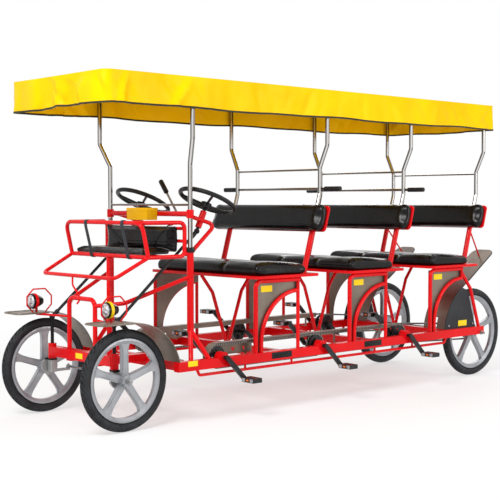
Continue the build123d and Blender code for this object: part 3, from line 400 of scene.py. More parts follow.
finishes = {
    "red_paint": makeRedGloss(),
    "chrome": makeChrome(),
    "steel": makeGrained("bareSteel", (0.36, 0.36, 0.37), 0.38, (60, (0.22, 0.22, 0.22), (0.46, 0.46, 0.46)),
                         (90, 0.28, 0.5), (400, 2, 0.06, 0.0004), Metallic=0.9),
    "black_vinyl": makeVinyl(),
    "canopy_cloth": makeCanopyCloth(),
    "tyre": makeRubber("tyreRubber", (0.0115, 0.012, 0.0135), (0.025, 0.026, 0.029), 300),
    "grip_rubber": makeRubber("gripRubber", (0.006, 0.006, 0.006), (0.013, 0.013, 0.013), 420),
    "cast_wheel": makeGrained("castAlloy", (0.33, 0.34, 0.36), 0.40,
                              (12, (0.28, 0.29, 0.31), (0.38, 0.39, 0.41)),
                              (70, 0.32, 0.5), (240, 3, 0.10, 0.0008), Metallic=0.45, Specular_IOR_Level=0.3),
    "crank_metal": makeGrained("crankBlack", (0.012, 0.012, 0.013), 0.28,
                               (30, (0.006, 0.006, 0.0065), (0.020, 0.020, 0.021)),
                               (80, 0.20, 0.42), (320, 2, 0.08, 0.0005), Specular_IOR_Level=0.3),
    "lamp_lens": makeLens(),
    "champagne_paint": makePaint("champagneSheet", (0.152, 0.126, 0.0976), (0.216, 0.182, 0.144), 0.36, 0.4,
                                 shine=0.35),
    "charcoal_paint": makePaint("charcoalSheet", (0.016, 0.017, 0.020), (0.026, 0.027, 0.031), 0.40),
    "black_paint": makePaint("satinBlack", (0.007, 0.007, 0.0075), (0.014, 0.014, 0.015), 0.32),
    "black_plastic": makePaint("mouldedBlack", (0.007, 0.007, 0.0075), (0.013, 0.013, 0.014), 0.40, 0.0, 380),
    "yellow_plastic": makePaint("yellowBox", (0.88, 0.46, 0.001), (0.96, 0.54, 0.003), 0.30, 0.0, 700, 0.12),
}
hemFinish = makePaint("darkHem", (0.022, 0.021, 0.010), (0.038, 0.036, 0.018), 0.62)
strapFinish = makePaint("greyWebbing", (0.020, 0.022, 0.027), (0.036, 0.039, 0.046), 0.62)
beltFinish = makePaint("blackWebbing", (0.004, 0.004, 0.0045), (0.009, 0.009, 0.010), 0.62)
stickerFinish = makePaint("yellowLabel", (0.90, 0.62, 0.004), (0.96, 0.69, 0.008), 0.30)
plateFinish = makePaint("blankPlate", (0.004, 0.004, 0.004), (0.008, 0.008, 0.0075), 0.25)
orangeFinish = makePaint("orangeReflector", (0.70, 0.13, 0.003), (0.84, 0.19, 0.005), 0.18, 0.0, 900, 0.5)
bandFinish = makePaint("yellowLampBand", (0.86, 0.52, 0.003), (0.94, 0.60, 0.006), 0.3)
chainFinish = makeChainFinish(0.0127)


def sideBox(node, side):  # one side's share of a node that has a left and a right part
    points = [point.co for point in nodes[node].data.vertices if point.co.y * side > 0]
    low = Vector([min(point[axis] for point in points) for axis in range(3)])
    high = Vector([max(point[axis] for point in points) for axis in range(3)])
    return low, high


lensMiddle = middleOf(sideBox("headlamp_lenses", 1))
slotOf = {entry["node"]: entry["material_slot"] for entry in frame["record"]["subparts"]}
slotOf["seat_bases"] = "red_paint"
for nodeName, node in nodes.items():
    node.data.materials.clear()
    node.data.materials.append(finishes[slotOf[nodeName]])
nodes["brake_lever"].data.materials[0] = makeLeverFinish(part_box("brake_lever")[1].z - 0.075)
nodes["drive_chains"].data.materials[0] = chainFinish
knuckleFinish = makeKnuckleFinish(0.290)
for word in sideNames.values():
    nodes[f"steering_knuckle_{word}"].data.materials[0] = knuckleFinish
nodes["headlamps"].data.materials[0] = makeLampFinish(lensMiddle - Vector((0.033, 0, 0)), 0.039, 0.0415)
print("finishes on", len(nodes), "solids")


# canopy: a flat top with a skirt drawn down all round, then folds and a dark hem

canopyLook = {
    "cellsLong": 250, "cellsWide": 74, "skirtRows": 12, "hemHeight": 0.010, "clothThickness": 0.0022,
    "inset": 0.010, "halfWidth": 0.445, "front": 1.564, "rear": -1.543, "frontCorner": 0.045,
    "rearCorner": 0.025, "topSag": 0.014, "foldCount": 58, "foldDepth": 0.008, "cornerFolds": 17,
    "cornerDepth": 0.019, "cornerReach": 0.62, "hemWaves": ((5.1, 0.0035, 0.0), (11.7, 0.0021, 1.3)),
    "hemLow": -0.004, "foldOnset": 2.2, "flare": 0.003, "foldsOut": 0.006, "foldsIn": (0.008, 0.020, 0.25),
    "seed": 23,
}


def canopyFolds(length, width):  # creases along the skirt, as (place, lean, half width, depth)
    look = canopyLook
    draw = random.Random(look["seed"])
    around = 2 * (length + width)
    folds = []
    for number in range(look["foldCount"]):
        place = around * (number + draw.uniform(-0.4, 0.4)) / look["foldCount"]
        folds.append((place, draw.uniform(-0.14, 0.14), draw.uniform(0.030, 0.070),
                      look["foldDepth"] * draw.uniform(-1.0, 1.0)))
    for corner, share in ((0.0, 1.0), (length, 0.5), (length + width, 0.5), (2 * length + width, 0.9)):
        for number in range(look["cornerFolds"]):
            reach = look["cornerReach"] * draw.uniform(0.0, 1.0) * draw.choice((-1, 1))
            folds.append(((corner + reach) % around, draw.uniform(-0.24, 0.24), draw.uniform(0.030, 0.080),
                          share * look["cornerDepth"] * draw.uniform(0.3, 1.0) * draw.choice((-1, 1))))
    return folds


def bowPlaces():  # where the canopy posts reach the roof, with both ends of its frame
    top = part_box("canopy_posts")[1].z - 0.002
    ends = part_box("canopy_frame")
    places = sorted(point.co.x for point in nodes["canopy_posts"].data.vertices
                    if point.co.z > top and point.co.y > 0)
    groups = [[places[0]]]
    for place in places[1:]:
        if place - groups[-1][-1] > 0.1:
            groups.append([place])
        else:
            groups[-1].append(place)
    return [ends[0].x] + [sum(group) / len(group) for group in groups] + [ends[1].x]


def makeCanopy():
    look = canopyLook
    low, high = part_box("canopy")
    centre = Vector(((look["front"] + look["rear"]) / 2, 0, high.z))
    inset = look["inset"]  # folds stand out from here
    halfLong = (look["front"] - look["rear"]) / 2 - inset
    halfWide = look["halfWidth"] - inset
    skirtHeight = high.z - low.z - 0.004
    topHeight = high.z - 0.004
    sheet = addShape("canopySheet", "grid", x_subdivisions=look["cellsLong"],
                     y_subdivisions=look["cellsWide"], size=1, location=(centre.x, centre.y, topHeight))
    sheet.scale = (2 * halfLong, 2 * halfWide, 1)
    settle(sheet)
    editPiece(sheet)
    rows = look["skirtRows"]
    bpy.ops.mesh.select_all(action="DESELECT")
    bpy.ops.mesh.select_mode(type="EDGE")
    bpy.ops.mesh.select_non_manifold()
    drops = [(skirtHeight - look["hemHeight"]) / rows] * rows + [look["hemHeight"]]
    for drop in drops:
        extrudeBy((0, 0, -drop))
    leaveEdit()

    folds = canopyFolds(2 * halfLong, 2 * halfWide)
    around = 4 * (halfLong + halfWide)
    bows = bowPlaces()

    def drape(place):
        x = place.x - centre.x
        y = place.y - centre.y
        depth = (topHeight - place.z) / skirtHeight
        onLong = abs(abs(y) - halfWide) < abs(abs(x) - halfLong)
        if onLong and y > 0:
            run = halfLong - x
            out = Vector((0, 1, 0))
        elif onLong:
            run = 2 * halfLong + 2 * halfWide + halfLong + x
            out = Vector((0, -1, 0))
        elif x < 0:
            run = 2 * halfLong + halfWide - y
            out = Vector((-1, 0, 0))
        else:
            run = 4 * halfLong + 2 * halfWide + halfWide + y
            out = Vector((1, 0, 0))
        radius = look["frontCorner"] if x > 0 else look["rearCorner"]
        u = (abs(x) - halfLong + radius) / radius
        v = (abs(y) - halfWide + radius) / radius
        if u > 0 and v > 0:  # square corners are drawn in to the frame's curve
            roundU = u * math.sqrt(1 - v * v / 2)
            roundV = v * math.sqrt(1 - u * u / 2)
            out = Vector((math.copysign(roundU, x), math.copysign(roundV, y), 0)).normalized()
            x = math.copysign(halfLong - radius + radius * roundU, x)
            y = math.copysign(halfWide - radius + radius * roundV, y)
        place = Vector((x + centre.x, y + centre.y, place.z))
        if depth < 1e-4:  # roof sags between bows and towards its middle
            lastBow = max([bow for bow in bows if bow <= place.x] or [bows[0]])
            nextBow = min([bow for bow in bows if bow > place.x] or [bows[-1]])
            span = max(nextBow - lastBow, 0.05)
            share = min(max((place.x - lastBow) / span, 0), 1)
            sag = look["topSag"] * math.sin(math.pi * share) ** 2
            sag = sag * (1 - (y / halfWide) ** 2) * min(span / 0.7, 1)
            return place - Vector((0, 0, max(sag, 0)))
        push = 0.0
        for foldPlace, lean, half, deep in folds:
            gap = (run - foldPlace - lean * depth + around / 2) % around - around / 2
            if abs(gap) < half:
                push += deep * (1 - abs(gap) / half) * min(depth * look["foldOnset"], 1)  # sharp ridge
        sink, more, below = look["foldsIn"]
        push = min(push + look["flare"] * depth, inset + look["foldsOut"])
        push = max(push, -sink - more * max(depth - below, 0))
        wave = sum(rise * math.sin(run * rate + shift) for rate, rise, shift in look["hemWaves"]) * depth
        return place + out * push + Vector((0, 0, max(wave, look["hemLow"])))

    movePoints(sheet, drape)
    editPiece(sheet)
    pick(lambda place, face: False)
    mesh = bmesh.from_edit_mesh(sheet.data)
    mesh.faces.ensure_lookup_table()
    perimeter = 2 * (look["cellsLong"] + look["cellsWide"])
    for face in mesh.faces[len(mesh.faces) - perimeter:]:  # the last ring of the skirt
        face.select_set(True)
    bmesh.update_edit_mesh(sheet.data)
    bpy.ops.mesh.duplicate()
    bpy.ops.mesh.separate(type="SELECTED")
    leaveEdit()
    hem = [o for o in bpy.context.selected_objects if o != sheet][0]
    hem.name = "canopyHem"
    hem.data.name = "canopyHem"
    applyModifier(sheet, "SOLIDIFY", thickness=look["clothThickness"], offset=0)
    applyModifier(hem, "SOLIDIFY", thickness=look["clothThickness"] * 2.2, offset=0)
    applyModifier(hem, "BEVEL", width=0.0008, segments=2)
    smoothByAngle(sheet, 30)
    smoothByAngle(hem, 50)
    finishPiece(sheet, "frame", "canopy_cloth")
    finishPiece(hem, "frame", "canopy_cloth", hemFinish)
    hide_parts("canopy")
    print("canopy", len(sheet.data.polygons), "faces")


makeCanopy()


# padded seats: a rounded block is puffed like a filled cover, then seams are drawn in

padLook = {
    "voxel": 0.0060, "pressure": 4.0, "frames": 20, "cap": 0.010, "startInset": 0.006, "glue": 0.004,
    "lift": 0.0005, "seamWidth": 0.009, "seatSeamDepth": 0.30, "seatRound": 0.027, "seatSlope": 0.016,
    "seatCrown": 0.012, "backRound": 0.020, "backCorner": 0.044, "childRound": 0.011, "childThickness": 0.032,
    "ribWidth": 0.0045, "ribDepth": 0.0036, "ribCount": 8,
}


def startPad(name, size, roundness, corner=0.0):  # corner rounds the outline seen from the front
    pad = addBlock(name, size)
    editPiece(pad)
    if corner:
        pick(lambda place, edge: abs(edge.verts[0].co.x - edge.verts[1].co.x) > size[0] / 2, "EDGE")
        bpy.ops.mesh.bevel(offset=corner, segments=8, affect="EDGES")
    pick(lambda place, edge: edge.calc_face_angle(0) > 1.0, "EDGE")
    bpy.ops.mesh.bevel(offset=roundness, segments=6, affect="EDGES")
    leaveEdit()
    applyModifier(pad, "REMESH", mode="VOXEL", voxel_size=padLook["voxel"])
    return pad


def puff(pad, held):  # held says which points are glued to the board
    before = [point.co.copy() for point in pad.data.vertices]
    group = pad.vertex_groups.new(name="held")
    group.add([point.index for point in pad.data.vertices if held(point.co)], 1.0, "REPLACE")
    cloth = pad.modifiers.new("Cloth", "CLOTH")
    cloth.settings.use_pressure = True
    cloth.settings.uniform_pressure_force = padLook["pressure"]
    cloth.settings.vertex_group_mass = "held"
    cloth.settings.effector_weights.gravity = 0
    cloth.point_cache.frame_end = padLook["frames"]
    for number in range(1, padLook["frames"] + 1):
        bpy.context.scene.frame_set(number)
    makeActive(pad)
    bpy.ops.object.modifier_apply(modifier="Cloth")
    pad.vertex_groups.clear()
    for point, start in zip(pad.data.vertices, before):
        travel = point.co - start
        if travel.length > padLook["cap"]:
            point.co = start + travel * (padLook["cap"] / travel.length)
    bpy.context.scene.frame_set(1)


def finishPads(pad, node):  # the first bench's pad is copied to the other two
    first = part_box(f"{node}_1")[0]
    pads = [pad]
    for number in (2, 3):
        pads.append(copyOf(pad, pad.name.replace("1", str(number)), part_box(f"{node}_{number}")[0] - first))
    for number, cushion in enumerate(pads, 1):
        finishPiece(cushion, "frame", "black_vinyl")
        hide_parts(f"{node}_{number}")
    print(node, len(pad.data.polygons), "faces each")


def makeSeatCushions():
    low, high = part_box("seat_cushion_1")
    size = high - low
    grow = padLook["startInset"]
    start = (size.x - 2 * grow, size.y - 2 * grow, size.z - 1.6 * grow)
    half = start[2] / 2
    pad = startPad("seatCushion1", start, padLook["seatRound"])
    puff(pad, lambda place: place.z < padLook["glue"] - half)
    seams = (-size.y / 6, size.y / 6)

    def seam(place):
        nearest = min(abs(place.y - s) for s in seams)
        draw = math.exp(-(nearest / padLook["seamWidth"]) ** 2)
        lobe = max(nearest - 0.004, 0) / (size.y / 6)
        lift = padLook["seatCrown"] * math.sin(min(lobe, 1) * math.pi / 2) if place.z > 0 else 0.0
        crown = 1 - (2 * place.x / size.x) ** 2
        x = place.x * (1 - 0.045 * draw)
        z = -half + (place.z + half) * (1 - padLook["seatSeamDepth"] * draw)
        z += lift * max(crown, 0) * (place.z + half) / size.z
        z -= padLook["seatSlope"] * (0.5 - place.x / size.x) * (place.z + half) / size.z  # lower at the back
        return Vector((x, place.y, max(z, -half)))

    movePoints(pad, seam)
    applyModifier(pad, "SMOOTH", factor=0.5, iterations=26)
    movePoints(pad, lambda place: Vector((place.x, place.y, max(place.z, -half))))
    smoothByAngle(pad, 80)
    centre = (low + high) / 2
    moveBy(pad, Vector((centre.x, centre.y, low.z + half + padLook["lift"])))
    finishPads(pad, "seat_cushion")


def makeBackrests():
    settings = {"lean": math.radians(-16), "height": 0.180, "thickness": 0.062, "width": 0.958,
                "back": -0.0045, "seamFromEnd": 0.034, "seamWidth": 0.006, "seamDepth": 0.004}
    grow = padLook["startInset"]
    size = (settings["thickness"] - 1.6 * grow, settings["width"] - 2 * grow, settings["height"] - 2 * grow)
    pad = startPad("backrestPad1", size, padLook["backRound"], padLook["backCorner"])
    puff(pad, lambda place: place.x < padLook["glue"] - size[0] / 2)

    def shape(place):  # a seam just inside each end
        rim = abs(place.y) - (settings["width"] / 2 - settings["seamFromEnd"])
        draw = math.exp(-(rim / settings["seamWidth"]) ** 2) if place.x > 0 else 0.0
        return Vector((max(place.x, -size[0] / 2) - settings["seamDepth"] * draw, place.y, place.z))

    movePoints(pad, shape)
    applyModifier(pad, "SMOOTH", factor=0.5, iterations=30)
    smoothByAngle(pad, 80)
    pad.rotation_euler = (0, settings["lean"], 0)
    settle(pad)
    ahead = Vector((math.cos(settings["lean"]), 0, -math.sin(settings["lean"]))) * settings["back"]
    moveBy(pad, middleOf(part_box("backrest_pad_1")) + ahead)
    finishPads(pad, "backrest_pad")


def makeChildPads():
    grow = padLook["startInset"]
    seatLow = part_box("child_seat_cushion")[0].z
    pieces = (("child_seat_cushion", "childSeatPad", False), ("child_seat_back", "childBackPad", True))
    for node, name, ribs in pieces:
        low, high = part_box(node)
        if ribs:  # the back reaches down behind the cushion
            low.z = seatLow + 0.004
        else:
            high.z = seatLow + padLook["childThickness"]
            low.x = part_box("child_seat_back")[1].x + 0.001
        size = high - low
        start = (size.x - 2 * grow, size.y - 2 * grow, size.z - 1.6 * grow)
        half = start[2] / 2
        pad = startPad(name, start, padLook["childRound"])
        rest = Vector(((low.x + high.x) / 2, (low.y + high.y) / 2, low.z + half + padLook["lift"]))
        if ribs:
            puff(pad, lambda place: place.x < padLook["glue"] - (size.x / 2 - grow))
            step = size.z / padLook["ribCount"]

            def rib(place):
                nearest = abs((place.z + size.z / 2) % step - step / 2)
                groove = math.exp(-((step / 2 - nearest) / padLook["ribWidth"]) ** 2)
                pull = padLook["ribDepth"] * groove if place.x > 0 else 0.0
                return Vector((max(place.x, grow - size.x / 2) - pull, place.y, place.z))

            movePoints(pad, rib)
            rest += Vector((padLook["lift"] - grow, 0, 0.004))
        else:
            puff(pad, lambda place: place.z < padLook["glue"] - half)
            movePoints(pad, lambda place: Vector((place.x, place.y, max(place.z, -half))))
        applyModifier(pad, "SMOOTH", factor=0.5, iterations=3)
        smoothByAngle(pad, 80)
        moveBy(pad, rest)
        finishPiece(pad, "frame", "black_vinyl")
        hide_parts(node)
    print("child seat pads")


makeSeatCushions()
makeBackrests()
makeChildPads()


# tyres: a ring with chevron grooves pressed into its tread and a bead line on each wall

tyreLook = {
    "segments": 156, "sides": 32, "height": 0.046, "grooveDepth": 0.0028, "grooveEdge": 0.0010, "repeat": 3,
    "treadDepth": 0.011, "column": 0.0048, "bead": (0.022, 0.027), "beadEdge": 0.0008, "beadRise": 0.0007,
}


def makeTyre(node, body):
    look = tyreLook
    low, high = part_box(node)
    centre = (low + high) / 2
    radius = (high.z - low.z) / 2
    half = look["height"] / 2
    tyre = addShape("tread" + node.title().replace("_", ""), "torus", location=centre,
                    rotation=(math.pi / 2, 0, 0), major_radius=radius - half, minor_radius=half,
                    major_segments=look["segments"], minor_segments=look["sides"])
    bpy.ops.object.transform_apply(location=False, rotation=True, scale=False)
    tyre.scale = (1, (high.y - low.y) / 2 / half, 1)
    settle(tyre)
    editPiece(tyre)

    def groove(place, normal):
        across = abs(place.y - centre.y)
        out = math.hypot(place.x - centre.x, place.z - centre.z)
        if out < radius - look["treadDepth"]:
            return False
        turn = (math.atan2(place.z - centre.z, place.x - centre.x) / (2 * math.pi)) % 1
        segment = int(turn * look["segments"])
        column = int(round(across / look["column"]))
        return (segment + column) % look["repeat"] == 0

    pick(groove)
    bpy.ops.mesh.inset(thickness=look["grooveEdge"], use_individual=True)
    bpy.ops.transform.shrink_fatten(value=-look["grooveDepth"])

    def bead(place, normal):
        rise = math.hypot(place.x - centre.x, place.z - centre.z) - (radius - 2 * half)
        return look["bead"][0] < rise < look["bead"][1] and abs(normal.y) > 0.8

    pick(bead)
    bpy.ops.mesh.inset(thickness=look["beadEdge"])
    bpy.ops.transform.shrink_fatten(value=look["beadRise"])
    leaveEdit()
    smoothByAngle(tyre, 40)
    finishPiece(tyre, body, "tyre")
    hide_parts(node)


for body in wheelBodies:
    makeTyre(body.replace("wheel", "tyre"), body)
print("tyres with tread")


# tube work: the child seat's bent basket, its hook, roof end bars and tail struts

def makeTube(name, route, diameter, bend=0.0):  # a bent tube drawn along its middle line
    route = [Vector(point) for point in route]
    editPiece(addShape(name, "plane", size=0.01))
    bpy.ops.mesh.select_mode(type="VERT")
    bpy.ops.mesh.select_all(action="SELECT")
    bpy.ops.mesh.merge(type="CENTER")
    bpy.ops.transform.translate(value=route[0])
    for last, point in zip(route, route[1:]):
        extrudeBy(point - last)
    if bend:
        pick(lambda place, point: len(point.link_edges) == 2, "VERT")
        bpy.ops.mesh.bevel(offset=bend, segments=6, affect="VERTICES")
    leaveEdit()
    bpy.ops.object.convert(target="CURVE")
    line = bpy.context.active_object
    line.data.dimensions = "3D"
    line.data.bevel_depth = diameter / 2
    line.data.bevel_resolution = 4
    line.data.use_fill_caps = True
    bpy.ops.object.convert(target="MESH")
    tube = nameIt(name)
    outward(tube)
    smoothByAngle(tube, 40)
    return tube


def bracket(start, end, inner, outer, height):  # three sides of a level rectangle, open at start
    return [(start, inner, height), (end, inner, height), (end, outer, height), (start, outer, height)]


basketLook = {
    "tube": 0.022, "bar": 0.018, "nose": 0.020, "hook": 0.010, "clampTube": 0.028, "bend": 0.048,
    "sideBend": 0.030, "hookBend": 0.010, "half": 0.345, "sideStart": (0.004, 0.030),
    "topFront": 1.276, "lowFront": 1.236, "rear": 1.0035, "top": 1.026, "low": 0.852,
    "noseAt": (1.431, 0.329, 0.754), "middleBar": (1.146, 0.854), "backBars": (0.930, 0.995),
    "clamp": (0.974, 0.355, 0.866),
    "hookRoute": ((1.431, -0.045, 0.747), (1.431, -0.045, 0.703), (1.408, -0.022, 0.655),
                  (1.404, -0.018, 0.628), (1.415, -0.030, 0.606)),
}


def makeBasket():
    look = basketLook
    half, low, top, rear = look["half"], look["low"], look["top"], look["rear"]
    noseX, noseY, noseZ = look["noseAt"]
    clampX, clampY, clampZ = look["clamp"]
    footLeft = (look["lowFront"], half, low)
    footRight = (look["lowFront"], -half, low)
    tubes = [
        makeTube("loop", [footRight, (look["topFront"], -half, top), (look["topFront"], half, top), footLeft],
                 look["tube"], look["bend"]),
        makeTube("nose", [footRight, (noseX, -noseY, noseZ), (noseX, noseY, noseZ), footLeft],
                 look["nose"], look["sideBend"]),
        makeTube("lowBar", [footRight, footLeft], look["tube"]),
        makeTube("hook", look["hookRoute"], look["hook"], look["hookBend"]),
    ]
    for x, height in [look["middleBar"]] + [(rear, height) for height in look["backBars"]]:
        tubes.append(makeTube("bar", [(x, -half, height), (x, half, height)], look["bar"]))
    back, inside = look["sideStart"]
    for side in sideNames:
        y = side * half
        route = [(look["topFront"] - back, side * (half - inside), top), (rear, y, top), (rear, y, low),
                 (look["lowFront"], y, low)]
        tubes.append(makeTube("side", route, look["tube"], look["sideBend"]))
        route = [(clampX, side * clampY, clampZ), (rear, y, clampZ)]
        tubes.append(makeTube("clamp", route, look["clampTube"]))
    basket = joinPieces(tubes, "childSeatBasket")
    finishPiece(basket, "frame", "red_paint")
    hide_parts("child_seat_frame")
    print("child seat basket", len(basket.data.polygons), "faces")


trimLook = {
    "roofTube": 0.019, "roofBars": (("roofFront", 1.500, 1.538, 0.050), ("roofRear", -1.480, -1.512, 0.020)),
    "strut": 0.010, "strutTop": (-1.392, 0.355, 0.945), "strutFoot": (0.060, 0.330, 0.040),
}


def makeTubeTrim():
    low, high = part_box("canopy_frame")
    railY = high.y - 0.010
    height = (low.z + high.z) / 2
    ends = [makeTube(name, bracket(start, end, -railY, railY, height), trimLook["roofTube"], bend)
            for name, start, end, bend in trimLook["roofBars"]]
    finishPiece(joinPieces(ends, "roofEndBars"), "frame", "black_paint")
    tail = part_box("rear_fenders")
    x, y, z = trimLook["strutTop"]
    ahead, across, drop = trimLook["strutFoot"]
    struts = []
    for side in sideNames:
        foot = (tail[0].x + ahead, side * across, tail[1].z - drop)
        struts.append(makeTube("strut", [(x, side * y, z), foot], trimLook["strut"]))
    finishPiece(joinPieces(struts, "tailStruts"), "frame", "red_paint")
    print("roof end bars and tail struts")


fenderLook = {
    "bead": 0.009, "height": 0.5425, "sides": (0.305, 0.460), "start": 1.410, "front": 1.600, "bend": 0.030,
    "tailBead": 0.007, "tailFoot": (-1.195, 0.549), "tailTurn": math.radians(56), "tailSpan": (0.10, 0.468),
    "tailSides": (0.247, 0.413), "tailBend": 0.050,
}


def makeFenderBeads():  # rolled edges, light in front and dark round the tails
    look = fenderLook
    front = []
    tails = []
    for side in sideNames:
        inner, outer = (side * y for y in look["sides"])
        route = bracket(look["start"], look["front"], inner, outer, look["height"])
        front.append(makeTube("bead", route, look["bead"], look["bend"]))
        (first, last), (inner, outer) = look["tailSpan"], look["tailSides"]
        route = []
        for run, y in ((first, inner), (last, inner), (last, outer), (first, outer)):
            route.append((look["tailFoot"][0] - run * math.sin(look["tailTurn"]), side * y,
                          look["tailFoot"][1] + run * math.cos(look["tailTurn"])))
        tails.append(makeTube("tail", route, look["tailBead"], look["tailBend"]))
    front = joinPieces(front, "frontFenderBeads")
    finishPiece(front, "frame", "champagne_paint")
    finishPiece(joinPieces(tails, "tailBeads"), "frame", "black_paint")
    print("fender beads")


boxLook = {"middle": 0.010, "width": 0.178, "round": 0.006, "lid": 0.018, "lidGap": 0.002, "lip": 0.0025}


def makeDashBox():  # a small box with a lid lip
    low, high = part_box("dash_box")
    centre = (low + high) / 2
    lid = high.z - boxLook["lid"]
    box = addBlock("dashBox", (high.x - low.x - 0.005, boxLook["width"], high.z - low.z - 0.001),
                   (centre.x, boxLook["middle"], centre.z))
    editPiece(box)
    cutLevel((lid, lid - boxLook["lidGap"]))
    pick(lambda place, normal: abs(normal.z) < 0.2 and place.z > lid)
    bpy.ops.transform.shrink_fatten(value=boxLook["lip"])
    leaveEdit()
    applyModifier(box, "BEVEL", width=boxLook["round"], segments=4, limit_method="ANGLE")
    smoothByAngle(box, 35)
    finishPiece(box, "frame", "yellow_plastic")
    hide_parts("dash_box")
    print("dash box")


makeBasket()
makeTubeTrim()
makeFenderBeads()
makeDashBox()


# wheels: broad channelled spokes over the plain ones

spokeLook = {
    "root": 0.020, "waist": 0.0180, "flare": 0.0270, "half": 0.0125, "hub": 0.026, "rim": 0.069,
    "grooveEdge": 0.0055, "grooveDepth": 0.0045, "cuts": (0.25, 0.5, 0.75, 0.88), "count": 5,
}


def makeSpokes(body):
    look = spokeLook
    centre = middleOf(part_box(body))
    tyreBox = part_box(body.replace("wheel", "tyre"))
    tyreMiddle = middleOf(tyreBox)
    start = look["hub"]
    end = (tyreBox[1].z - tyreBox[0].z) / 2 - look["rim"]
    length = end - start
    spoke = addBlock("spoke", (0.02, 2 * look["half"], length), (0, 0, (start + end) / 2))
    editPiece(spoke)
    cutLevel(start + share * length for share in look["cuts"])
    leaveEdit()

    def taper(place):
        share = (place.z - start) / length
        width = look["root"] + (look["waist"] - look["root"]) * min(share / 0.5, 1)
        width += (look["flare"] - look["waist"]) * max((share - 0.75) / 0.25, 0) ** 2
        return Vector((math.copysign(width, place.x), place.y, place.z))

    movePoints(spoke, taper)
    editPiece(spoke)
    pick(lambda place, normal: abs(normal.y) > 0.9)
    bpy.ops.mesh.inset(thickness=look["grooveEdge"])
    bpy.ops.transform.shrink_fatten(value=-look["grooveDepth"])
    leaveEdit()
    applyModifier(spoke, "BEVEL", width=0.0018, segments=2, limit_method="ANGLE")
    spokes = [spoke]
    for number in range(1, look["count"]):
        twin = copyOf(spoke, "spoke", Vector())
        twin.data.transform(Matrix.Rotation(2 * math.pi * number / look["count"], 4, "Y"))
        spokes.append(twin)
    piece = joinPieces(spokes, "spokes." + body.title().replace("_", ""))
    moveBy(piece, (centre.x, tyreMiddle.y, tyreMiddle.z))
    smoothByAngle(piece, 35)
    finishPiece(piece, body, "cast_wheel")


for body in wheelBodies:
    makeSpokes(body)
print("channelled spokes")


# straps, belts and bands

def makeRibbon(name, route, width, thickness, along, finish):  # a strap drawn from point to point
    ribbon = addShape(name, "plane", size=1)
    side = Vector(along).normalized() * (width / 2)
    route = [Vector(point) for point in route]

    def stretch(place):
        return (route[0] if place.x < 0 else route[1]) + side * (1 if place.y > 0 else -1)

    movePoints(ribbon, stretch)
    editPiece(ribbon)
    corners = (route[1] - side, route[1] + side)
    pick(lambda place, point: min((place - corner).length for corner in corners) < 1e-5, "VERT")
    for last, point in zip(route[1:], route[2:]):
        extrudeBy(point - last)
    leaveEdit()
    outward(ribbon)
    applyModifier(ribbon, "SUBSURF", levels=1, render_levels=1)
    applyModifier(ribbon, "SOLIDIFY", thickness=thickness, offset=0)
    applyModifier(ribbon, "BEVEL", width=thickness * 0.3, segments=2)
    smoothByAngle(ribbon, 50)
    return finishPiece(ribbon, "frame", "black_vinyl", finish)


strapLook = {
    "width": 0.026, "thickness": 0.0022, "places": (-0.138, 0.190), "reach": 0.0145,
    "topBar": (1.276, 0, 1.026), "lowBar": (1.236, 0, 0.852), "pastCushion": 0.0185,
}


def makeSeatStraps():  # from the basket's top bar round its low front bar
    look = strapLook
    reach = look["reach"]
    past = look["pastCushion"]
    topBar = Vector(look["topBar"])
    lowBar = Vector(look["lowBar"])
    overTop = ((-reach, 0.002), (-reach * 0.7, reach * 0.75), (reach * 0.1, reach),
               (reach * 0.85, reach * 0.6), (reach, -0.010))
    underFoot = ((past, 0.040), (past, 0.004), (reach * 0.7, -reach * 0.75), (-reach * 0.3, -reach),
                 (-reach, -reach * 0.4))
    for number, y in enumerate(look["places"], 1):
        route = [topBar + Vector((x, y, z)) for x, z in overTop]
        route += [lowBar + Vector((x, y, z)) for x, z in underFoot]
        makeRibbon(f"seatStrap{number}", route, look["width"], look["thickness"], (0, 1, 0),
                   strapFinish)
    print("child seat straps")


def makeBelts():  # two belts lie on the back pad and meet on the cushion
    low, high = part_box("child_seat_back")
    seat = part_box("child_seat_cushion")[0].z + padLook["childThickness"]
    face = high.x + 0.0045
    for number, side in enumerate((1, -1), 1):
        route = [(low.x + 0.006, side * 0.285, high.z + 0.0035),
                 (high.x - 0.008, side * 0.275, high.z + 0.0050),
                 (face, side * 0.262, high.z - 0.010), (face, side * 0.165, seat + 0.040),
                 (face + 0.006, side * 0.135, seat + 0.012), (face + 0.040, side * 0.105, seat + 0.0042),
                 (face + 0.130, side * 0.060, seat + 0.0042)]
        makeRibbon(f"seatBelt{number}", route, 0.030, 0.0026, (0, 0.86, 0.5 * side), beltFinish)
    print("child seat belts")


def makeBand(name, centre, radius, wide, thick, axis, slot, finish=None):  # a clamp ring round a tube
    band = addShape(name, "cylinder", vertices=40, radius=radius, depth=wide, end_fill_type="NOTHING")
    applyModifier(band, "SOLIDIFY", thickness=thick, offset=1)
    applyModifier(band, "BEVEL", width=thick * 0.3, segments=2, limit_method="ANGLE")
    band.rotation_mode = "QUATERNION"
    band.rotation_quaternion = Vector(axis).to_track_quat("Z", "Y")
    band.location = centre
    settle(band)
    smoothByAngle(band, 40)
    return finishPiece(band, "frame", slot, finish)


bandLook = {
    "collarRadius": 0.0182, "collarWide": 0.026, "collarThick": 0.006, "collarDrop": 0.006,
    "lampRadius": 0.0393, "lampBand": 0.016, "lampThick": 0.003, "lampBack": 0.012,
}


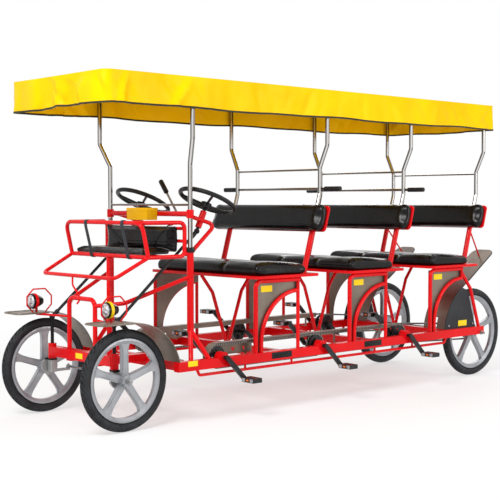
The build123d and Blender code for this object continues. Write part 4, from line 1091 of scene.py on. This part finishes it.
def makeBands():
    look = bandLook
    for side, word in sideNames.items():
        top = sideBox("uprights", side)[1].z
        rim = [point.co for point in nodes["uprights"].data.vertices
               if point.co.z > top - 0.004 and point.co.y * side > 0]
        middle = sum(rim, Vector()) / len(rim)
        makeBand(f"postCollar.{word}", (middle.x, middle.y, top - look["collarDrop"]), look["collarRadius"],
                 look["collarWide"], look["collarThick"], (0, 0, 1), "black_paint")
        lens = sideBox("headlamp_lenses", side)
        centre = middleOf(lens)
        slot, finish = ("yellow_plastic", bandFinish) if side > 0 else ("red_paint", None)
        makeBand(f"lampBand.{word}", (lens[0].x - look["lampBack"], centre.y, centre.z), look["lampRadius"],
                 look["lampBand"], look["lampThick"], (1, 0, 0), slot, finish)
    print("collars and lamp bands")


makeSeatStraps()
makeBelts()
makeBands()


# blank labels and plates

def makePlate(name, centre, size, normal, slot, finish):  # a thin plate whose face looks along normal
    plate = addShape(name, "cube", size=1, location=centre)
    plate.rotation_mode = "QUATERNION"
    plate.rotation_quaternion = Vector(normal).to_track_quat("Y", "Z")
    plate.scale = size
    settle(plate)
    applyModifier(plate, "BEVEL", width=min(size) * 0.45, segments=3)
    smoothByAngle(plate, 40)
    return finishPiece(plate, "frame", slot, finish)


labelLook = {
    "thickness": 0.0012, "railFace": 0.460, "railLabel": (0.062, 0.028), "railLabelAt": (1.043, 0.312),
    "railPlate": (0.150, 0.034), "railPlatesAt": (0.419, -0.323), "railPlateHeight": 0.302,
    "panelLabel": (0.083, 0.034), "panelLabelBack": 0.108, "panelLabelHeight": 0.664,
    "coverLabel": (0.087, 0.036), "coverLabelAhead": 0.137, "coverLabelHeight": 0.356,
    "beamLabel": (0.062, 0.028), "beamLabelAt": (1.429, 0.008, 0.341),
}


def makeLabels():
    look = labelLook
    thick = look["thickness"]
    outer = look["railFace"] + thick / 2
    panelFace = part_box("seat_panels")[1].y + thick / 2
    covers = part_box("wheel_covers")
    hoops = [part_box(f"bench_frame_{number}")[1].x for number in (1, 2, 3)]
    yellow = ("yellow_plastic", stickerFinish)
    black = ("black_plastic", plateFinish)
    x, z = look["railLabelAt"]
    rows = [("railLabel", (x, outer, z), look["railLabel"], yellow)]
    for number, x in enumerate(look["railPlatesAt"], 1):
        rows.append((f"railPlate{number}", (x, outer, look["railPlateHeight"]), look["railPlate"], black))
    for number, hoop in enumerate(hoops, 1):
        place = (hoop - look["panelLabelBack"], panelFace, look["panelLabelHeight"])
        rows.append((f"panelLabel{number}", place, look["panelLabel"], yellow))
    place = (covers[0].x + look["coverLabelAhead"], covers[1].y + thick / 2, look["coverLabelHeight"])
    rows.append(("coverLabel", place, look["coverLabel"], yellow))
    for side, word in sideNames.items():
        for name, (x, y, z), (wide, tall), paint in rows:
            makePlate(f"{name}.{word}", (x, side * y, z), (wide, thick, tall), (0, side, 0), *paint)
    x, y, z = look["beamLabelAt"]
    wide, tall = look["beamLabel"]
    makePlate("beamLabel", (x + thick / 2, y, z), (wide, thick, tall), (1, 0, 0), *yellow)
    print("blank labels and plates")


makeLabels()


# pedals: an orange reflector between bright cage plates on each long face

pedalLook = {
    "swing": 0.1202, "outer": (0.498, 0.588), "inner": (0.212, 0.302), "half": 0.031,
    "pedalOrange": (0.018, 0.0026, 0.008), "pedalBright": (0.022, 0.0028, 0.019), "brightOut": 0.030,
}


def makePedalTrim():
    look = pedalLook
    masters = []
    kinds = (("pedalOrange", orangeFinish, (0,)),
             ("pedalBright", finishes["cast_wheel"], (look["brightOut"], -look["brightOut"])))
    for name, finish, ends in kinds:
        size = look[name]
        plates = [makePlate(name, (face * (look["half"] + size[1] / 2), end, 0), size, (face, 0, 0),
                            "crank_metal", finish) for face in (1, -1) for end in ends]
        masters.append(joinPieces(plates, name))
    for side, word in sideNames.items():
        for number in (1, 2, 3):
            body = f"crank_{word}_{number}"
            middle = middleOf(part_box(body))
            for kind, sway in (("outer", -side), ("inner", side)):
                swing = sway * look["swing"]
                shift = Vector((middle.x + swing, side * sum(look[kind]) / 2, middle.z + swing))
                for master in masters:
                    twin = copyOf(master, f"{master.name}.{word}{number}{kind}", shift)
                    finishPiece(twin, body, "crank_metal", master.data.materials[0])
    for master in masters:
        bpy.data.objects.remove(master)
    print("pedal trim")


makePedalTrim()


# hex nuts on the front stubs and bolts round the hubs and covers

nutLook = {
    "hubNut": (0.019, 0.009), "hubBolt": (0.007, 0.004), "hubBoltCircle": 0.0215, "hubBolts": 5,
    "coverBolt": (0.012, 0.006), "coverEdge": 0.035, "coverRise": 0.022,
}


def makeNut(size, side):  # looks along +Y or -Y
    width, height = size
    nut = settle(addShape("nut", "cylinder", vertices=6, radius=width / math.sqrt(3), depth=height,
                          location=(0, 0, height / 2)))
    editPiece(nut)
    pick(lambda place, normal: normal.z > 0.9)
    bpy.ops.mesh.inset(thickness=width * 0.15)
    extrudeBy((0, 0, height * 0.3))
    leaveEdit()
    applyModifier(nut, "BEVEL", width=width * 0.04, segments=2)
    nut.rotation_euler = (-side * math.pi / 2, 0, 0)
    settle(nut)
    smoothByAngle(nut, 30)
    return nut


def placeNuts(name, size, side, places, body, finish=None):
    nuts = []
    for place in places:
        nut = makeNut(size, side)
        moveBy(nut, place)
        nuts.append(nut)
    finishPiece(joinPieces(nuts, name), body, "steel", finish)


def makeNuts():
    look = nutLook
    turns = [2 * math.pi * (number + 0.5) / look["hubBolts"] for number in range(look["hubBolts"])]
    for side, word in sideNames.items():
        face = 1 if side > 0 else 0
        middle = middleOf(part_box(f"front_wheel_{word}"))
        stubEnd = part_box(f"steering_knuckle_{word}")[face].y - side * 0.001
        placeNuts(f"stubNut.{word}", look["hubNut"], side, [(middle.x, stubEnd, middle.z)], f"steered_{word}")
        for end in ("front", "rear"):
            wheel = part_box(f"{end}_wheel_{word}")
            middle = middleOf(wheel)
            places = [(middle.x + look["hubBoltCircle"] * math.cos(turn), wheel[face].y,
                       middle.z + look["hubBoltCircle"] * math.sin(turn)) for turn in turns]
            placeNuts(f"hubBolts.{end}{word}", look["hubBolt"], side, places, f"{end}_wheel_{word}",
                      finishes["cast_wheel"])
        cover = sideBox("wheel_covers", side)
        places = [(x, cover[face].y, cover[0].z + look["coverRise"])
                  for x in (cover[0].x + look["coverEdge"], cover[1].x - look["coverEdge"])]
        placeNuts(f"coverBolts.{word}", look["coverBolt"], side, places, "frame")
    print("nuts and bolts")


makeNuts()


# studio: pale floor, white surroundings, one broad soft lamp and two fills

def makeStudio():
    floor = addShape("studioFloor", "plane", size=60, location=(0, 0, -0.0005))
    paper = startFinish("studioPaper", (0.92, 0.92, 0.92), 0.9, Specular_IOR_Level=0.0)
    tree = paper.node_tree
    glow = addNode(tree, "Emission", {"Strength": 1.0})["Emission"]
    away = addNode(tree, "VectorMath", {0: objectSpace(paper)}, operation="LENGTH")["Value"]
    fade = mapRange(tree, away, (1.0, 4.2), (0.5, 1))  # a light shadow stays near the wheels
    mix = addNode(tree, "MixShader", {"Fac": fade, 1: shaderOf(paper).outputs["BSDF"], 2: glow})
    tree.links.new(mix["Shader"], tree.nodes["Material Output"].inputs["Surface"])
    floor.data.materials.append(paper)

    world = bpy.data.worlds.new("studioWorld")
    bpy.context.scene.world = world
    world.use_nodes = True
    tree = world.node_tree
    light = tree.nodes["Background"]
    light.inputs["Color"].default_value = (1, 1, 1, 1)
    light.inputs["Strength"].default_value = 0.55
    seen = addNode(tree, "Background", {"Color": (1, 1, 1, 1), "Strength": 1.0})["Background"]
    path = addNode(tree, "LightPath", {})
    either = addMath(tree, "MAXIMUM", path["Is Camera Ray"], path["Is Glossy Ray"])
    anyRay = addMath(tree, "MAXIMUM", either, path["Is Transmission Ray"])
    blend = addNode(tree, "MixShader", {"Fac": anyRay, 1: light.outputs["Background"], 2: seen})
    tree.links.new(blend["Shader"], tree.nodes["World Output"].inputs["Surface"])

    lamps = {"key": ((5.0, 2.0, 5.0), 2.6, 300), "fill": ((-2.5, 6.0, 2.6), 3.0, 150),
             "back": ((-5.0, -3.0, 4.0), 3.0, 110)}
    for name, (place, size, power) in lamps.items():
        data = bpy.data.lights.new(name, "AREA")
        data.size = size
        data.energy = power
        lamp = bpy.data.objects.new(name, data)
        lamp.location = place
        lamp.rotation_euler = (Vector((0, 0, 0.7)) - Vector(place)).to_track_quat("-Z", "Y").to_euler()
        bpy.context.scene.collection.objects.link(lamp)


cameraLook = {
    "place": (4.6153, 4.8410, 1.1247), "turn": -132.124, "tilt": -2.3866, "lens": 80.573, "sensor": 36.0,
}


def makeCamera():
    turn = math.radians(cameraLook["turn"])
    tilt = math.radians(cameraLook["tilt"])
    look = Vector((math.cos(tilt) * math.cos(turn), math.cos(tilt) * math.sin(turn), math.sin(tilt)))
    data = bpy.data.cameras.new("photoCamera")
    data.lens = cameraLook["lens"]
    data.sensor_width = cameraLook["sensor"]
    camera = bpy.data.objects.new("photoCamera", data)
    camera.location = cameraLook["place"]
    camera.rotation_euler = look.to_track_quat("-Z", "Y").to_euler()
    bpy.context.scene.collection.objects.link(camera)
    bpy.context.scene.camera = camera


makeStudio()
makeCamera()
bpy.context.scene.view_settings.view_transform = "Standard"
print("studio and camera")
